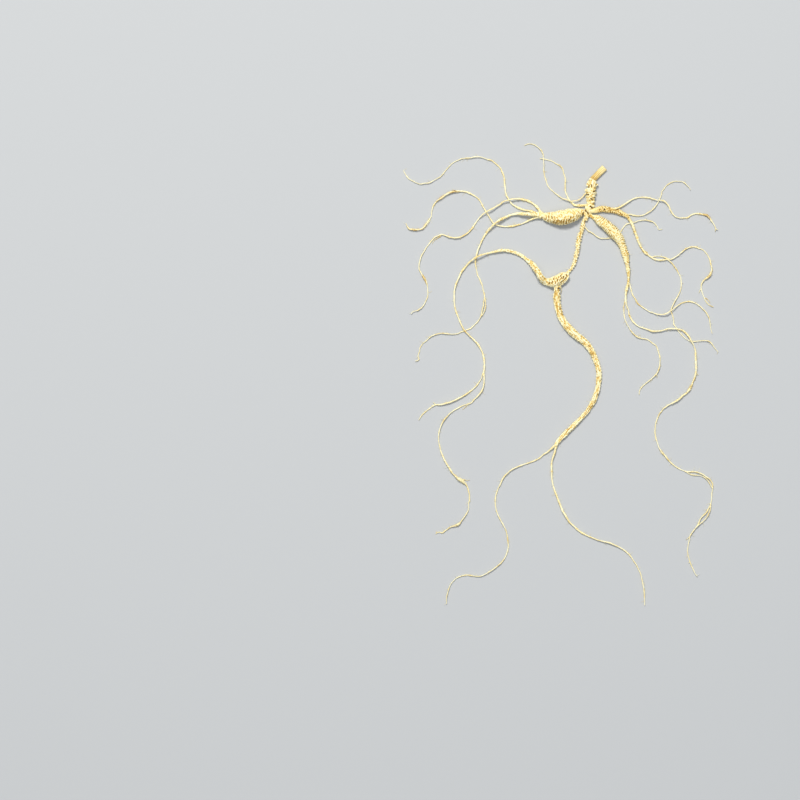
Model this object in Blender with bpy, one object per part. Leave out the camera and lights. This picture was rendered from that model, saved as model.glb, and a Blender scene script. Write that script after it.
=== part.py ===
"""A dried wild ginseng root, one solid, laid out flat on a surface.

Metres, +Z up. The root lies on the plane z = 0. +Y points to the stalk, +X to the right of the root as it
is seen from above. The origin is at the bottom centre of the root's box.
"""

import math

import bmesh
import bpy
import numpy as np
from mathutils import Matrix

# Driving sizes
ROOT_LENGTH = 0.388  # from the highest rootlet to the blunt end of the tail
SURFACE_GAP = 0.00025  # air under a thin root
FLAT_SINK = 0.00045  # how much of a plump root's underside is pressed flat
SURFACE_DEPTH = 0.010  # of the block that presses it flat
THIN_RADIUS = 0.0013  # up to this radius a root clears the surface
PLUMP_RADIUS = 0.0021  # from this radius on it lies pressed flat
ROOTLET_RISE = 0.0011  # how far a thin root lifts off the surface between its low places
ROOTLET_WAVE = 0.047  # from one low place to the next
CROSSING_GAP = 0.0004  # air between two roots that cross
HUMP_REACH = 0.013  # how far before a crossing a root starts to climb
JOIN_REACH = 0.0075  # near its start a root may touch what it grows from
LEAST_RADIUS = 0.00042  # the finest rootlet

# The stalk's dry foot is a flattened straw
STALK_WIDTH = 0.0053
STALK_THICKNESS = 0.0026
STALK_SIDES = 12
STALK_TAPER = 0.92  # its width where it leaves the rhizome, as a share of its width at the cut

# Growth rings, as alternate wide and narrow rings of the surface
PLUMP_RING = 0.00135  # from a wide ring to a narrow one
PLUMP_RELIEF = 0.035  # share of the radius
LUMP_RING = 0.0010
LUMP_RELIEF = 0.075
RHIZOME_RING = 0.00125
RHIZOME_RELIEF = 0.06
ARM_RING = 0.0021
TAIL_RING = 0.0024
ARM_RELIEF = 0.03

THIN_TOLERANCE = 0.00029  # how far a thin root's straight runs may lie from its smooth curve
DENSE_STEP = 0.0004  # spacing of the points that stand for the smooth curve
WELD = 0.00001

# Routes were read by eye from a top view, as (x, y) or (x, y, width) in its pixels, with y downwards.
# A point with no width takes one between its neighbours'.
VIEW_TOP = 143.2
VIEW_FOOT = 605.65
VIEW_LEFT = 403.0
VIEW_RIGHT = 718.9
PIXEL = ROOT_LENGTH / (VIEW_FOOT - VIEW_TOP)

RHIZOME = [
    (591.5, 178, 3.5), (591.5, 180.5, 6), (591.8, 183, 9.5), (592, 186, 9.6), (592, 188.5, 8.4),
    (590.8, 191, 10.2), (591, 194, 8.8), (590.7, 197, 9.6), (590.4, 200, 8), (590.6, 203, 7.6),
    (589.8, 206, 7.6), (588.3, 209, 7), (588, 212, 6.4), (587.4, 215, 5),
]
CENTRAL_ROOT = [
    (588, 209, 5), (587.4, 213, 5.4), (586.6, 216, 5.2), (585.3, 219), (584.2, 221.5, 4.6),
    (583.4, 225, 4.6), (582, 230, 4.1), (580.1, 235, 4.4), (578.7, 240, 4.8), (578.1, 245, 4.6),
    (577.6, 250, 4.2), (576.3, 255, 4.5), (575.3, 260, 3.8), (573.6, 265, 3.7), (571.5, 268.3, 3.4),
    (568.8, 271.5, 3.2), (566, 275, 4),
]
LUMP = [
    (568.3, 275.2, 4), (566.3, 276, 7.6), (564, 277.2, 11.4), (560.8, 279.4, 12.6), (557, 281.6, 11.8),
    (553, 282.6, 10.6), (549, 282.3, 9), (545, 281.3, 7.4), (541, 279, 6),
]
TAIL = [
    (556, 283.5, 6), (556.8, 287.5, 6), (557, 291, 6.6), (557, 296, 7.4), (557.2, 301, 7.2),
    (557.8, 306, 6.8), (558.8, 311, 6.8), (560.5, 316, 7), (562.8, 320.5, 7.2), (565.5, 324.5, 7.5),
    (568.8, 328.3, 8), (572, 331.5, 8), (575, 334.3, 7.6), (578.5, 337.3, 7.4), (582, 340, 7.2),
    (585.6, 343.1, 6.8), (589, 347.1, 6.6), (591.6, 351.2, 6.2), (594, 355.7, 5.9), (596, 360.3, 5.8),
    (597.5, 364.8, 5.7), (598.7, 370, 5.7), (599.1, 375, 5.6), (598.8, 380, 5.5), (598.2, 385, 5.4),
    (597.3, 390.2, 5.4), (595.7, 395.3, 5.5), (593.8, 399.9, 5.5), (591.7, 404.1, 5.3),
    (589.1, 408.5, 5), (586.4, 412.5, 4.7), (582.9, 416.1, 4.5), (579.9, 419.5, 4.7),
    (576.6, 422.8, 5.2), (573.3, 426.3, 5.3), (571.2, 428.3, 5), (568.3, 430.7, 5.4),
    (565.6, 433.7, 5.2), (562.6, 436.6, 5), (559.6, 440, 4.8), (557.1, 443, 4.1), (555.5, 446, 3.2),
]
TAIL_LEFT_FORK = [
    (556.5, 444.6, 3.2), (553.6, 446.6, 2.6), (550.8, 449.2, 1.9), (547.5, 452, 1.5), (542.8, 455),
    (540.5, 457.2, 1.5), (534.7, 460.6), (529.5, 462.6), (524.4, 464.3, 1.4), (516.3, 467.4),
    (511, 470.3), (508.1, 472.6), (504, 476.9), (501.9, 480.3), (500.4, 484.3), (498.9, 487),
    (497.3, 491), (496.3, 494), (495.4, 498.5), (495.3, 503, 1.4), (496.3, 510), (498.5, 516),
    (501, 520.8), (503.7, 525.5), (505.4, 529), (506.7, 533.3, 1.3), (507.6, 538.5), (508, 542),
    (508.4, 546.3, 1.3), (507.6, 550.7), (506.3, 554.6), (504.5, 558.5), (502.4, 561.5), (499.8, 564.1),
    (496.3, 567.1, 1.2), (492.8, 569.7), (489.8, 571.5), (486.8, 573.4), (483.7, 574.9),
    (480.3, 576.3, 1), (475.9, 576.3), (471.6, 575.8), (468.1, 575.3, 1.2), (464.7, 575.4),
    (460.3, 576.5), (457.7, 577.5), (455.1, 579.3), (452.5, 581.9), (450.4, 584.9, 1), (449.1, 588),
    (448, 591.6), (447.1, 595.4), (446.5, 598.8), (446.6, 604, 0.9),
]
TAIL_RIGHT_FORK = [
    (556.5, 445, 2.6), (555.4, 449.5, 2.3), (554.4, 453.5, 2.5), (553, 457.5, 2.5), (551.9, 462, 2.1),
    (551.6, 467, 2.1), (551.8, 472, 2.1), (552, 477, 2.2), (552.4, 481.7, 2.1), (553.4, 486.2, 2.1),
    (555.1, 491.3, 2.1), (557, 496.8, 2.1), (558.7, 500.8), (560.4, 505.1), (562.2, 509.9, 2.3),
    (564.8, 514.3, 2.5), (567.6, 519, 2.2), (570.3, 522.9, 2), (573.4, 525.7, 2), (576.8, 528.8, 2.1),
    (580.7, 532), (585.1, 534.6, 1.9), (589.4, 536.6), (593.7, 538.4, 1.8), (599.8, 540.6),
    (605.9, 541.9, 1.8), (610.9, 543.4), (615.2, 545.3), (620.6, 547.9, 1.6), (624.5, 550.4),
    (628.4, 553.7), (631.4, 557.2, 1.4), (634, 561.5), (636.6, 565), (638.4, 569.3),
    (640.5, 573.2, 1.3), (641.6, 577.5), (642.7, 582.7, 1.4), (643.5, 587), (644.2, 591.4),
    (644.6, 596.6), (644.8, 600.9, 1.3), (644.8, 605.6, 1.5),
]
SPINDLE = [
    (587.5, 211, 4), (585, 211.2, 3.4), (583, 211.8, 6), (581, 212.2, 8), (578, 212.9, 10),
    (574, 214.7, 13), (570, 215.9, 14.6), (565, 217.3, 15), (560, 218, 14.8), (555, 218, 12.8),
    (550, 217.4, 10.6), (546, 216.5, 8.8), (543.2, 215.5, 6.2), (541, 215, 7), (538.5, 215, 6.4),
    (535.5, 215, 5.4), (532.5, 214.9, 4),
]
LEFT_FIRST = [
    (541.5, 214, 3.4), (540, 211.5, 3), (538.8, 209.2), (536, 206, 3), (533, 203.5), (529, 201.2),
    (525, 199.9, 2.6), (520, 198.9, 2.4), (516, 198.8), (512, 199.2), (508, 200.2, 2), (504, 201.3),
    (500.2, 204.1, 2), (496.3, 206.5), (492.3, 208.8), (488.8, 210.5, 1.7), (486.4, 211.9),
    (483.4, 213.9), (480.4, 216.6), (478.5, 218.9), (476.7, 221.4, 1.5), (474.7, 224.4), (472.7, 227.4),
    (470.6, 230), (467.3, 233.2), (464, 235.3), (461, 236.7), (457, 237.8, 1.8), (453, 237.6),
    (449, 236.9, 1.8), (445, 235.3), (442, 234.5, 1.5), (438, 235.7), (435, 237.2), (432.6, 239.4, 1.2),
    (430.8, 241.6), (428.8, 244.3), (426.3, 247.6), (424.6, 250.4, 1.1), (423.2, 252.9), (421.5, 255.5),
    (420.5, 258.5), (419.5, 262, 1.2), (419, 266), (419.3, 269.5), (421, 272.8), (422.8, 276.2),
    (425.4, 279.6, 1.6), (427, 283.8), (427.5, 287, 1.2), (427.8, 291), (427.8, 296), (426.5, 299.5),
    (425, 302.5), (423.3, 305.5), (420.5, 308.3, 1), (417.5, 310.3), (414, 311.2), (412, 312.5),
    (411.2, 314, 1),
]
LEFT_SECOND = [
    (537.5, 214, 4), (535, 212.8, 3), (532, 211.5), (529, 210.7, 2.4), (525, 210, 2.2), (520, 208.5),
    (516, 206.5, 1.8), (512.5, 204.3), (510.5, 202), (509.5, 199.8), (508, 198), (506.5, 195, 1.5),
    (505.5, 192), (505.3, 188), (504.7, 184), (504.5, 180, 1.6), (504, 176.5), (503, 173.5),
    (502, 171.5), (501, 169), (499.5, 167, 1.4), (497, 164.5), (494.5, 162.5), (491.5, 160.3, 1.3),
    (488, 159.5), (485, 158.3), (482, 157.2), (478, 156.7, 1.4), (474, 156.9), (470, 157.8), (466, 158),
    (462, 158.5, 1), (459, 159.7), (456, 161), (453, 162.8), (450.5, 165), (448, 167.7), (446, 170),
    (444, 172.5), (442, 175), (440, 177), (437, 178.5), (434, 180.2), (431, 182), (428, 183),
    (424, 183.3), (420, 184), (416, 182.5), (413.5, 181.2), (411, 180), (408.5, 178.3), (407, 176.5),
    (405.5, 174), (404.3, 172), (403.5, 170, 1),
]
LEFT_THIRD = [
    (538, 215, 5), (534, 215, 4), (530, 214.5), (526, 214.3, 3.6), (521, 213.8, 3.6), (517, 213.7),
    (513, 214.5, 3.3), (509, 215.8), (505, 217.6, 3), (501, 219.5), (497, 222, 2.7), (493.5, 224.8, 2.6),
    (490, 228.3), (487.5, 231.5), (485, 235, 2.4), (483, 238.5), (481, 242.5, 2.1), (479.5, 246),
    (478, 249.5, 2), (477, 253), (476.3, 256.5), (475.5, 260, 1.5), (475.5, 264), (476.2, 268),
    (477, 271.5), (477.7, 275, 1.4), (479.5, 278.5), (481, 282), (482.5, 286), (483.3, 290),
    (484.2, 294, 1.4), (484.5, 298), (483.8, 302), (483.3, 306), (482.3, 310, 1.2), (481.5, 314),
    (480.3, 317.5), (478.5, 320.5), (476, 323.3), (473, 326), (470.5, 328.5, 1.2), (467, 329.8),
    (464.5, 331), (461.5, 331.7), (458.5, 333.3), (455, 334), (451.5, 334, 1), (447, 333.8),
    (443, 333.2), (439, 333.5), (436, 334.3), (432, 335.8), (429, 338), (426.5, 340.5), (424, 342.5),
    (421.5, 345.2), (420, 347.8), (419.5, 351, 1), (418.5, 354), (418, 356.5), (419, 359), (418, 360.3),
    (415, 361, 1),
]
LEFT_THIRD_SIDE = [
    (484.3, 295, 1.2), (485.1, 299), (485.6, 304, 1), (485.4, 308), (484.5, 311), (483, 314),
    (481.2, 316, 1.1),
]
LEFT_FOURTH = [
    (538.5, 216.5, 3.6), (536, 217.5, 2.6), (533, 218.5), (529, 220.3, 2), (525, 222.3), (521, 224),
    (516, 225.3, 2), (511, 226.2), (506, 226.6), (502, 226.2), (498, 225.3, 1.8), (494, 223.5),
    (491, 219.5, 1.6), (489, 216.5), (487.5, 214), (486, 211.5), (484.5, 208.8), (482.5, 205.5),
    (481, 202.5, 1.5), (479, 199.3), (476.5, 197), (473, 194.8), (470, 193.2), (466, 191.7, 1.8),
    (462, 191.2), (458, 191.1), (455, 191.2, 2), (451, 192, 2), (447, 194, 2), (443.5, 196.3),
    (440, 198.8, 1.6), (437.5, 200.5), (435, 203), (433, 206.3, 1.4), (432, 210), (431.5, 213.5, 1.2),
    (431.2, 216.5), (429.5, 219.5), (427.5, 222.5), (425.5, 225, 1.7), (423.3, 227.5), (420.5, 229.2),
    (417, 229.7, 1.6), (413, 229.2), (410, 229, 1.4), (407.5, 226.8), (406.5, 224.5), (406.2, 223, 1),
]
RHIZOME_ROOTLET = [
    (589.5, 191, 2), (586, 193, 1.4), (584.5, 194.5, 1.2), (582, 197.5), (579.5, 199.5), (577, 200.5),
    (574, 200.9), (571.5, 201.3), (568, 200), (563, 198.5), (560.4, 197), (556.6, 194), (550.8, 189.2),
    (548.4, 186.5), (546.3, 181), (544.8, 176), (544, 172), (543.9, 165), (543.3, 158), (543, 154),
    (542, 151.5), (540, 149), (537.5, 146.5), (535.5, 145), (532.5, 144), (530, 143.7), (527.5, 144),
    (524.4, 145.3, 1),
]
CROWN_ROOTLET = [
    (590, 205, 3.4), (587, 204.9, 3), (583, 205.3, 3), (578, 205.5, 3), (574.5, 204.8, 2.6),
    (572, 202.8, 2.2), (569.5, 200.3, 2), (567.5, 196.5, 1.8), (565.8, 192.5, 1.7), (565.2, 187, 1.6),
    (565.4, 182, 1.6), (565.3, 178, 1.6), (564, 174, 1.4), (563.2, 170.5), (562.5, 168.5, 1.3),
    (560, 165.5), (557, 164), (553.5, 161.7, 1.1), (549.5, 160.2), (546, 159.3), (543, 158.7),
    (540, 158.4, 1),
]
CENTRAL_ROOTLET = [
    (583.3, 223, 1.8), (585, 226.5, 1.2), (586.5, 229), (589, 231.3), (592, 232.7), (595, 235),
    (598, 237), (600.5, 238.2), (604, 238.4), (608, 238.3), (612, 237.8), (616.5, 235.5), (621, 231),
    (623, 228.3), (625, 225.5), (627, 224), (629, 223.3), (632.5, 222.8), (635.5, 222), (638, 220.8),
    (642, 220.2), (646, 220), (650, 220.8), (653.5, 222), (656.2, 224.6), (657.8, 227.2), (658.3, 229),
    (662.5, 229.2, 1),
]
RIGHT_ARM = [
    (588.5, 211.3, 4.8), (592, 210.9, 4.6), (596, 210.3, 5.6), (600, 209.2, 6.3), (604, 209, 6.4),
    (608, 209.5, 6.2), (612, 210.3, 5.7), (616, 211.2, 5.5), (620, 212.7, 5.5), (624, 214.5, 4.6),
    (627.5, 216.5, 3.6), (629.5, 219.5, 3.7), (631.5, 223, 3.6), (633.8, 228, 3.3), (635, 232, 3.3),
    (636.7, 236.5, 2.9), (638, 240.5, 3.1), (639.8, 244.5, 3), (641.7, 248, 3), (644, 251.3, 2.7),
    (647, 253.8, 2.6), (650, 256.2, 2.2), (652, 257.8, 2), (654, 258.8, 2), (657, 259.7, 2.1),
    (661, 260, 2.1), (665, 259.7, 1.6), (668, 259, 1.4), (671, 259.2, 1.2), (674, 257.8, 1.4),
    (677, 256), (680, 253.6, 1.4), (683, 251), (686, 248.8), (689, 247.5), (693, 246.7, 1.5),
    (696, 247), (699, 248.3), (702.6, 249.5), (705.6, 252), (708, 255.6, 1.3), (710, 259.8), (711, 264),
    (712, 268, 1.4), (711, 272), (710, 275, 1.7), (707.5, 277.5), (705, 279.3), (703, 281.5),
    (701.7, 284, 1.3), (701.3, 287), (701.8, 290.4), (702.9, 293.8), (704.3, 297.2), (705.5, 300.5),
    (707.5, 303), (709, 304.5), (711, 305.8), (713.5, 306.8, 1),
]
RIGHT_ARM_EYE = [
    (651.5, 257.2, 1.4), (653.5, 256.6, 1), (656, 256.2), (660, 256.2), (663.5, 256.9), (666, 257.8),
    (668.5, 259, 1.2),
]
RIGHT_TOP = [
    (610, 209.6, 3), (616, 208.4, 2.4), (619, 207.4, 2.1), (622, 205.8), (625, 204), (628, 202),
    (631, 200.2), (634, 198.6), (637, 197.6), (640, 197.3, 1.6), (644, 197.2), (648, 197.5),
    (652, 198.5), (655, 199.5), (658, 200.2, 1.3), (661, 200.3), (664, 201), (666.5, 203, 1.6),
    (669, 206), (670.3, 209.5), (672, 212.5), (674, 215), (676.5, 217), (679, 217.7, 1.2), (683, 217.9),
    (686, 217.8), (688.5, 217.2), (691, 215.2), (694, 213.9), (697, 213.4), (700, 213.6),
    (703.5, 214.3), (706.8, 215.2), (709.3, 217.2, 2), (711.5, 220.5), (713.5, 223.5, 1.2), (715, 226),
    (716, 228.5), (718, 230, 1.2),
]
RIGHT_FINE = [
    (623.5, 214.3, 1.8), (626.5, 214.5, 1.3), (630.5, 214.3), (633, 215), (637, 215.8), (640, 215.7),
    (644, 214.8), (648, 212.5), (651, 210.8), (654, 208), (656.5, 205), (658, 202.5), (659.5, 200.3),
    (660.5, 197.5), (661.5, 194.5), (662, 191.5), (664, 189), (666, 186), (669, 183.8), (672, 182),
    (674.5, 181.2), (678, 181.2), (682, 181.5), (685, 183), (687.5, 185.5), (689.5, 187.5),
    (690.5, 190, 1),
]
RIGHT_ARM_BRANCH = [
    (667.5, 259.2, 1.6), (670, 261.3, 1.2), (672.5, 263.8), (674.4, 266.3), (676.5, 269.3),
    (678, 271.8), (679.6, 274.8), (681, 278.3), (681.3, 282), (681.4, 286), (680.8, 290),
    (679.4, 293.3), (677.6, 296.8), (675.7, 299.8), (674, 302.8), (672.5, 306), (671.5, 309),
    (671.5, 312.5), (673, 316.3), (673.8, 319.8), (674, 324), (676, 327), (678.5, 331), (681, 334),
    (684, 337), (687, 339.5), (690, 341), (693.5, 341.5), (697, 341.2), (701, 340.7), (705, 340.6),
    (709, 341.3), (711.5, 343.2), (713.5, 346), (716, 349.5), (718.5, 352, 1),
]
BANANA = [
    (588.5, 213.5, 4), (592.5, 216.6, 4), (595.8, 217.9, 6.8), (598.8, 219.9, 9.2),
    (604.8, 224.2, 10.6), (610.8, 229.5, 11.2), (615.8, 234.7, 11), (619.5, 239.4, 9.6),
    (621.5, 243.5, 8.2), (623.3, 248, 7.4), (625, 253, 7.2), (626.3, 258.5, 6.2), (627.2, 264, 5.6),
    (628.2, 270, 4.6), (628.6, 276, 3.4), (628.6, 281, 3), (627.9, 284.5, 3), (627, 288, 3),
    (626, 292, 2.4), (625.8, 297, 2), (625.8, 301, 2.2), (626.5, 305, 1.9), (628.4, 309.3, 1.8),
    (629.4, 314.9, 1.9), (631.8, 319.8, 1.9), (634.9, 323.4, 1.9), (638.6, 326.3, 1.8), (643, 327.8),
    (648, 329.6, 1.7), (652, 331, 1.8), (656, 331.3), (660, 330.9, 1.7), (664, 330), (667, 329, 1.6),
    (671, 328.6), (675, 328.6, 1.8), (679, 329.3), (682.6, 330.3, 1.7), (686.3, 333.3, 1.8),
    (688.8, 336.4), (691, 340.2, 2), (693, 343.6, 1.8), (694.6, 347.3, 1.6), (695.6, 352, 2.2),
    (695.7, 357, 2.2), (696, 362, 2.3), (696.2, 367, 2.3), (696, 371.5, 2.3), (695.5, 375, 2.2),
    (694.5, 378.5, 1.8), (693, 382, 1.8), (691.4, 386.2, 2.2), (689.2, 389.9, 2.3), (686.4, 393.1, 2.2),
    (683, 395.5, 1.9), (680, 398.5, 1.8), (676.5, 400.8, 2), (673, 402.8, 2), (669.5, 404.5, 1.6),
    (666.5, 406.5, 1.3), (663.5, 408.7, 1.2), (661.5, 411.5), (659.5, 414), (657.8, 418),
    (656.5, 421.5), (655.5, 425.5, 1.2), (655.2, 430), (655.3, 434.5), (656.3, 439, 1.4),
    (657.5, 443, 1.2), (658.7, 446.5), (660.5, 449.8, 1.3), (662, 452.5), (664.5, 455, 1.8), (667, 458),
    (669, 460.5, 1.3), (671.5, 463), (675, 466), (678.5, 468.3), (682, 470), (686, 471.5),
    (688, 471.8, 1.3), (692, 471.7), (696, 472), (700, 473.2), (703, 474.5), (706.5, 477), (709.5, 479),
    (711.5, 481.5), (712.8, 485), (712.6, 489), (711.9, 494, 1.3), (711.8, 498), (711.3, 502),
    (710.3, 505.5), (708.5, 509), (706.5, 512.5), (703.5, 515.5), (701, 518), (699.5, 521),
    (698, 524.5), (696.5, 527, 1.3), (694.5, 529.5), (692.5, 532.3), (690.7, 534.5), (689.8, 537.5),
    (689.3, 540.5), (688.5, 544), (688, 548, 1.1), (687.8, 551.5), (688.3, 555), (689, 558),
    (690, 561.5), (691.5, 565.5), (693.5, 570), (695.5, 574), (697.5, 576.5, 1),
]
BANANA_UPPER_SIDE = [
    (686.5, 471.6, 1.3), (689, 473.7, 1), (692.8, 474.9), (697, 475.3), (701, 475.7), (704.3, 477.2),
    (707, 479.7), (709.2, 482.5), (710.8, 485.4), (712.6, 488.5, 1.1),
]
BANANA_LOWER_SIDE = [
    (710.6, 504.5, 1.2), (710.6, 507.5, 1), (710, 511), (708.5, 514.6), (705.7, 518.8), (702, 522.3),
    (698.6, 525), (696.3, 527.6, 1.1),
]
BANANA_INNER_BRANCH = [
    (628.2, 281, 1.8), (629.8, 284.5, 1.3), (630.5, 287), (631.5, 290.5), (632.5, 294), (634.5, 297.5),
    (636.3, 300.5), (638, 303.7), (641, 306), (644.5, 308.3), (648, 310.8, 1.2), (651, 312.2),
    (654, 313), (657, 314, 1.6), (661, 314.5), (664.5, 314.2), (667.5, 313), (670, 311.3, 1.2),
    (672, 310), (674.5, 308), (678, 305.3), (681, 303.5), (684, 302.2), (687, 301.6, 1.4),
    (691, 301.6), (694, 302.5), (697, 304), (700, 306), (703, 309), (706, 312), (708, 315.5),
    (709.5, 319), (710, 322.5), (710.7, 327), (711.5, 331), (712.5, 333.8, 1),
]
BANANA_OUTER_BRANCH = [
    (625.9, 296, 1.9), (624.6, 303, 1.5), (624, 307), (624, 311, 1.3), (624.3, 315), (625, 319),
    (626.5, 322.5), (628.5, 326.5, 1.2), (630.5, 330), (633.5, 333.7), (636.5, 336.3),
    (639.5, 337.8, 1.4), (643, 338.5), (647, 339.3), (649.5, 340.7), (652.5, 343), (656, 345.5),
    (657.5, 348.5), (658.5, 352), (659.8, 356, 1.3), (660.2, 360), (660, 364), (659.2, 368),
    (658, 371.5), (656.3, 374, 1.4), (654.5, 376), (651.5, 378.8), (648.5, 381.3), (645.5, 383.7),
    (643, 386), (641, 388.3), (639.8, 390.5), (639.3, 393), (639.3, 395, 1.1),
]
LEFT_ARM = [
    (545, 281, 6), (541, 278, 6.2), (539, 274.5, 6), (537, 271, 5.8), (534.5, 267.5, 5.9),
    (532, 264, 5.5), (529.2, 261.6, 5), (526.8, 259.9, 4.2), (525, 258.2, 3.6), (522, 256, 3.6),
    (519, 254.3, 3.6), (515, 252.5, 3.4), (511, 251.3, 3.3), (507, 250.5, 3.1), (503, 250.3, 3),
    (499, 250.8, 2.9), (495, 251.6, 2.5), (490, 252.8, 2), (486, 253.7, 2.1), (482, 254.8, 2),
    (478, 256.5, 2), (475.5, 257.8, 2.4), (472.5, 259.8, 2.2), (469.5, 262), (466.5, 265.5, 2.3),
    (464, 268.5), (461.5, 272, 2.2), (459.5, 276), (457.7, 280, 2.1), (456, 284), (454.9, 288, 1.9),
    (454.3, 292, 2), (454.2, 297, 2), (454.3, 302, 1.9), (455, 307), (456, 311, 1.7), (457.5, 315.5),
    (459.3, 320, 1.7), (461, 324), (462.7, 327.3), (464.5, 330.5, 1.5), (467.5, 333.7), (471, 337, 1.6),
    (474.5, 340.5), (478, 344.3, 2), (480.5, 348.3), (482.6, 352.8, 1.9), (483.9, 358), (484.4, 363, 2),
    (484.3, 368), (483.8, 373, 2.1), (484.2, 378, 1.8), (484, 383), (483.2, 387.3, 1.7), (481.9, 390.7),
    (479.4, 394.1, 1.6), (476.4, 397.3), (473.6, 400.3, 1.4), (471.5, 402.7), (469, 403.6, 1.5),
    (465.5, 404.7, 1.2), (461.5, 406.3), (457.5, 408.3), (454, 410.3, 1.3), (451, 412.3),
    (448.5, 414.7), (446.5, 417, 1.6), (444, 420), (442.3, 423), (440.7, 426.5, 1.5), (439.5, 430),
    (438.7, 434.5, 1.5), (438.6, 439, 1.4), (439, 443), (440, 447), (440.8, 451, 1.5), (442.5, 455, 2),
    (444.3, 459.5, 1.9), (446.5, 463.5, 2), (448.8, 467.3, 1.7), (451, 470.8, 2.1), (453.4, 474.2, 1.6),
    (456, 476.8, 2.4), (459, 479.2, 2.8), (462.2, 481, 2.6), (464.7, 483.2, 2.2), (467, 486, 1.5),
    (468.3, 490, 1.4), (469.3, 494), (469.6, 498), (469.5, 500.5, 1.3), (468.7, 503, 1), (468.6, 507.5),
    (468, 511, 1), (466.5, 513.7, 1.2), (464.7, 516.5), (462.5, 519.3, 1.1), (460.5, 522.2),
    (457.8, 524.6, 1.8), (454.2, 526, 1.4), (450.5, 527, 1.2), (447.5, 529.2), (444.5, 531.3, 1.2),
    (442.3, 533), (439.5, 532.3), (437, 533), (435.5, 534.2, 1),
]
LEFT_ARM_BRANCH = [
    (484, 371, 1.6), (482.4, 374.5, 1.1), (481.8, 377.5), (480.5, 380.3), (478.5, 383, 1.4), (476.5, 385.7),
    (474, 388.2), (471, 390.7), (468, 393, 1.6), (465, 395), (461.5, 397), (458, 398.7, 1.7),
    (455, 400.2, 1.8), (452, 401.5), (449, 402.5), (446, 403.3, 1.8), (442, 404.3), (439, 404.7),
    (436, 404.7, 1.5), (434, 405.5), (431.5, 407), (429, 409, 1.2), (426.5, 411), (424, 413),
    (421.5, 415.7, 1.1), (420, 418), (418.5, 420.3, 1.1),
]

# Buds and stem scars on the rhizome and crown: place, radius in pixels, and height over the surface
# as a share of the rhizome's axis height
BUDS = [
    (587.6, 184.6, 1.9, 1.0), (596.4, 184.7, 1.9, 0.9), (586.9, 190.6, 1.9, 1.1), (594.6, 192.4, 2.0, 0.8),
    (587.6, 197.6, 1.9, 0.9), (593.6, 198.6, 1.9, 1.2), (592.9, 205.2, 1.9, 1.1), (590.6, 188.4, 2.2, 1.6),
    (585.9, 208.4, 1.8, 1.1), (591.6, 182.4, 2.0, 1.3),
]
BUD_TURN = 0.9  # radians from one bud to the next, so that no two are alike
STALK_FOOT = (592.2, 179.9)
STALK_CUT = (604.6, 167.6)

COLLECTION_NAME = "ginseng"
SKIN_COLOUR = (0.80, 0.66, 0.33, 1)
SKIN_ROUGHNESS = 0.7


def on_surface(x, y):
    """A place in the top view as metres from the middle of the root's box."""
    middle_x = (VIEW_LEFT + VIEW_RIGHT) / 2
    middle_y = (VIEW_TOP + VIEW_FOOT) / 2
    return (x - middle_x) * PIXEL, (middle_y - y) * PIXEL


def read_route(route):
    """The route as rows of x, y and radius in metres, with the missing widths filled in."""
    places = np.array([on_surface(*point[:2]) for point in route])
    along = np.concatenate([[0], np.cumsum(np.linalg.norm(np.diff(places, axis=0), axis=1))])
    known = [index for index, point in enumerate(route) if len(point) == 3]
    radii = [route[index][2] * PIXEL / 2 for index in known]
    radius = np.interp(along, along[known], radii)
    return np.column_stack([places, np.maximum(radius, LEAST_RADIUS)])


def smooth_through(points):
    """Closely spaced rows on a smooth curve through the given ones."""
    gaps = np.linalg.norm(np.diff(points[:, :2], axis=0), axis=1)[:, None]
    slopes = np.diff(points, axis=0) / gaps
    inner = (slopes[:-1] * gaps[1:] + slopes[1:] * gaps[:-1]) / (gaps[:-1] + gaps[1:])
    slopes = np.vstack([slopes[:1], inner, slopes[-1:]])
    rows = []
    for index, gap in enumerate(gaps[:, 0]):
        count = max(1, round(gap / DENSE_STEP))
        t = (np.arange(count) / count)[:, None]
        rows.append(
            (2 * t**3 - 3 * t**2 + 1) * points[index]
            + (t**3 - 2 * t**2 + t) * gap * slopes[index]
            + (3 * t**2 - 2 * t**3) * points[index + 1]
            + (t**3 - t**2) * gap * slopes[index + 1]
        )
    rows.append(points[-1:])
    return np.vstack(rows)


def length_along(places):
    steps = np.linalg.norm(np.diff(places[:, :2], axis=0), axis=1)
    return np.concatenate([[0], np.cumsum(steps)])


def resting_height(radius, along, phase):
    """Height of the axis: plump roots lie pressed flat, thin ones rise and dip just clear of the surface."""
    plump = np.interp(radius, [THIN_RADIUS, PLUMP_RADIUS], [0, 1])
    under = SURFACE_GAP - plump * (SURFACE_GAP + FLAT_SINK)
    rise = ROOTLET_RISE * (0.5 - 0.5 * np.cos(2 * math.pi * along / ROOTLET_WAVE + phase))
    return radius + under + (1 - plump) * rise


def raised(height, along, index, least):
    """The height with a long low hump that reaches `least` at one of its points."""
    reach = np.clip(np.abs(along - along[index]) / HUMP_REACH, 0, 1)
    hump = 0.5 + 0.5 * np.cos(math.pi * reach)
    return height + max(0, least - height[index]) * hump


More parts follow.
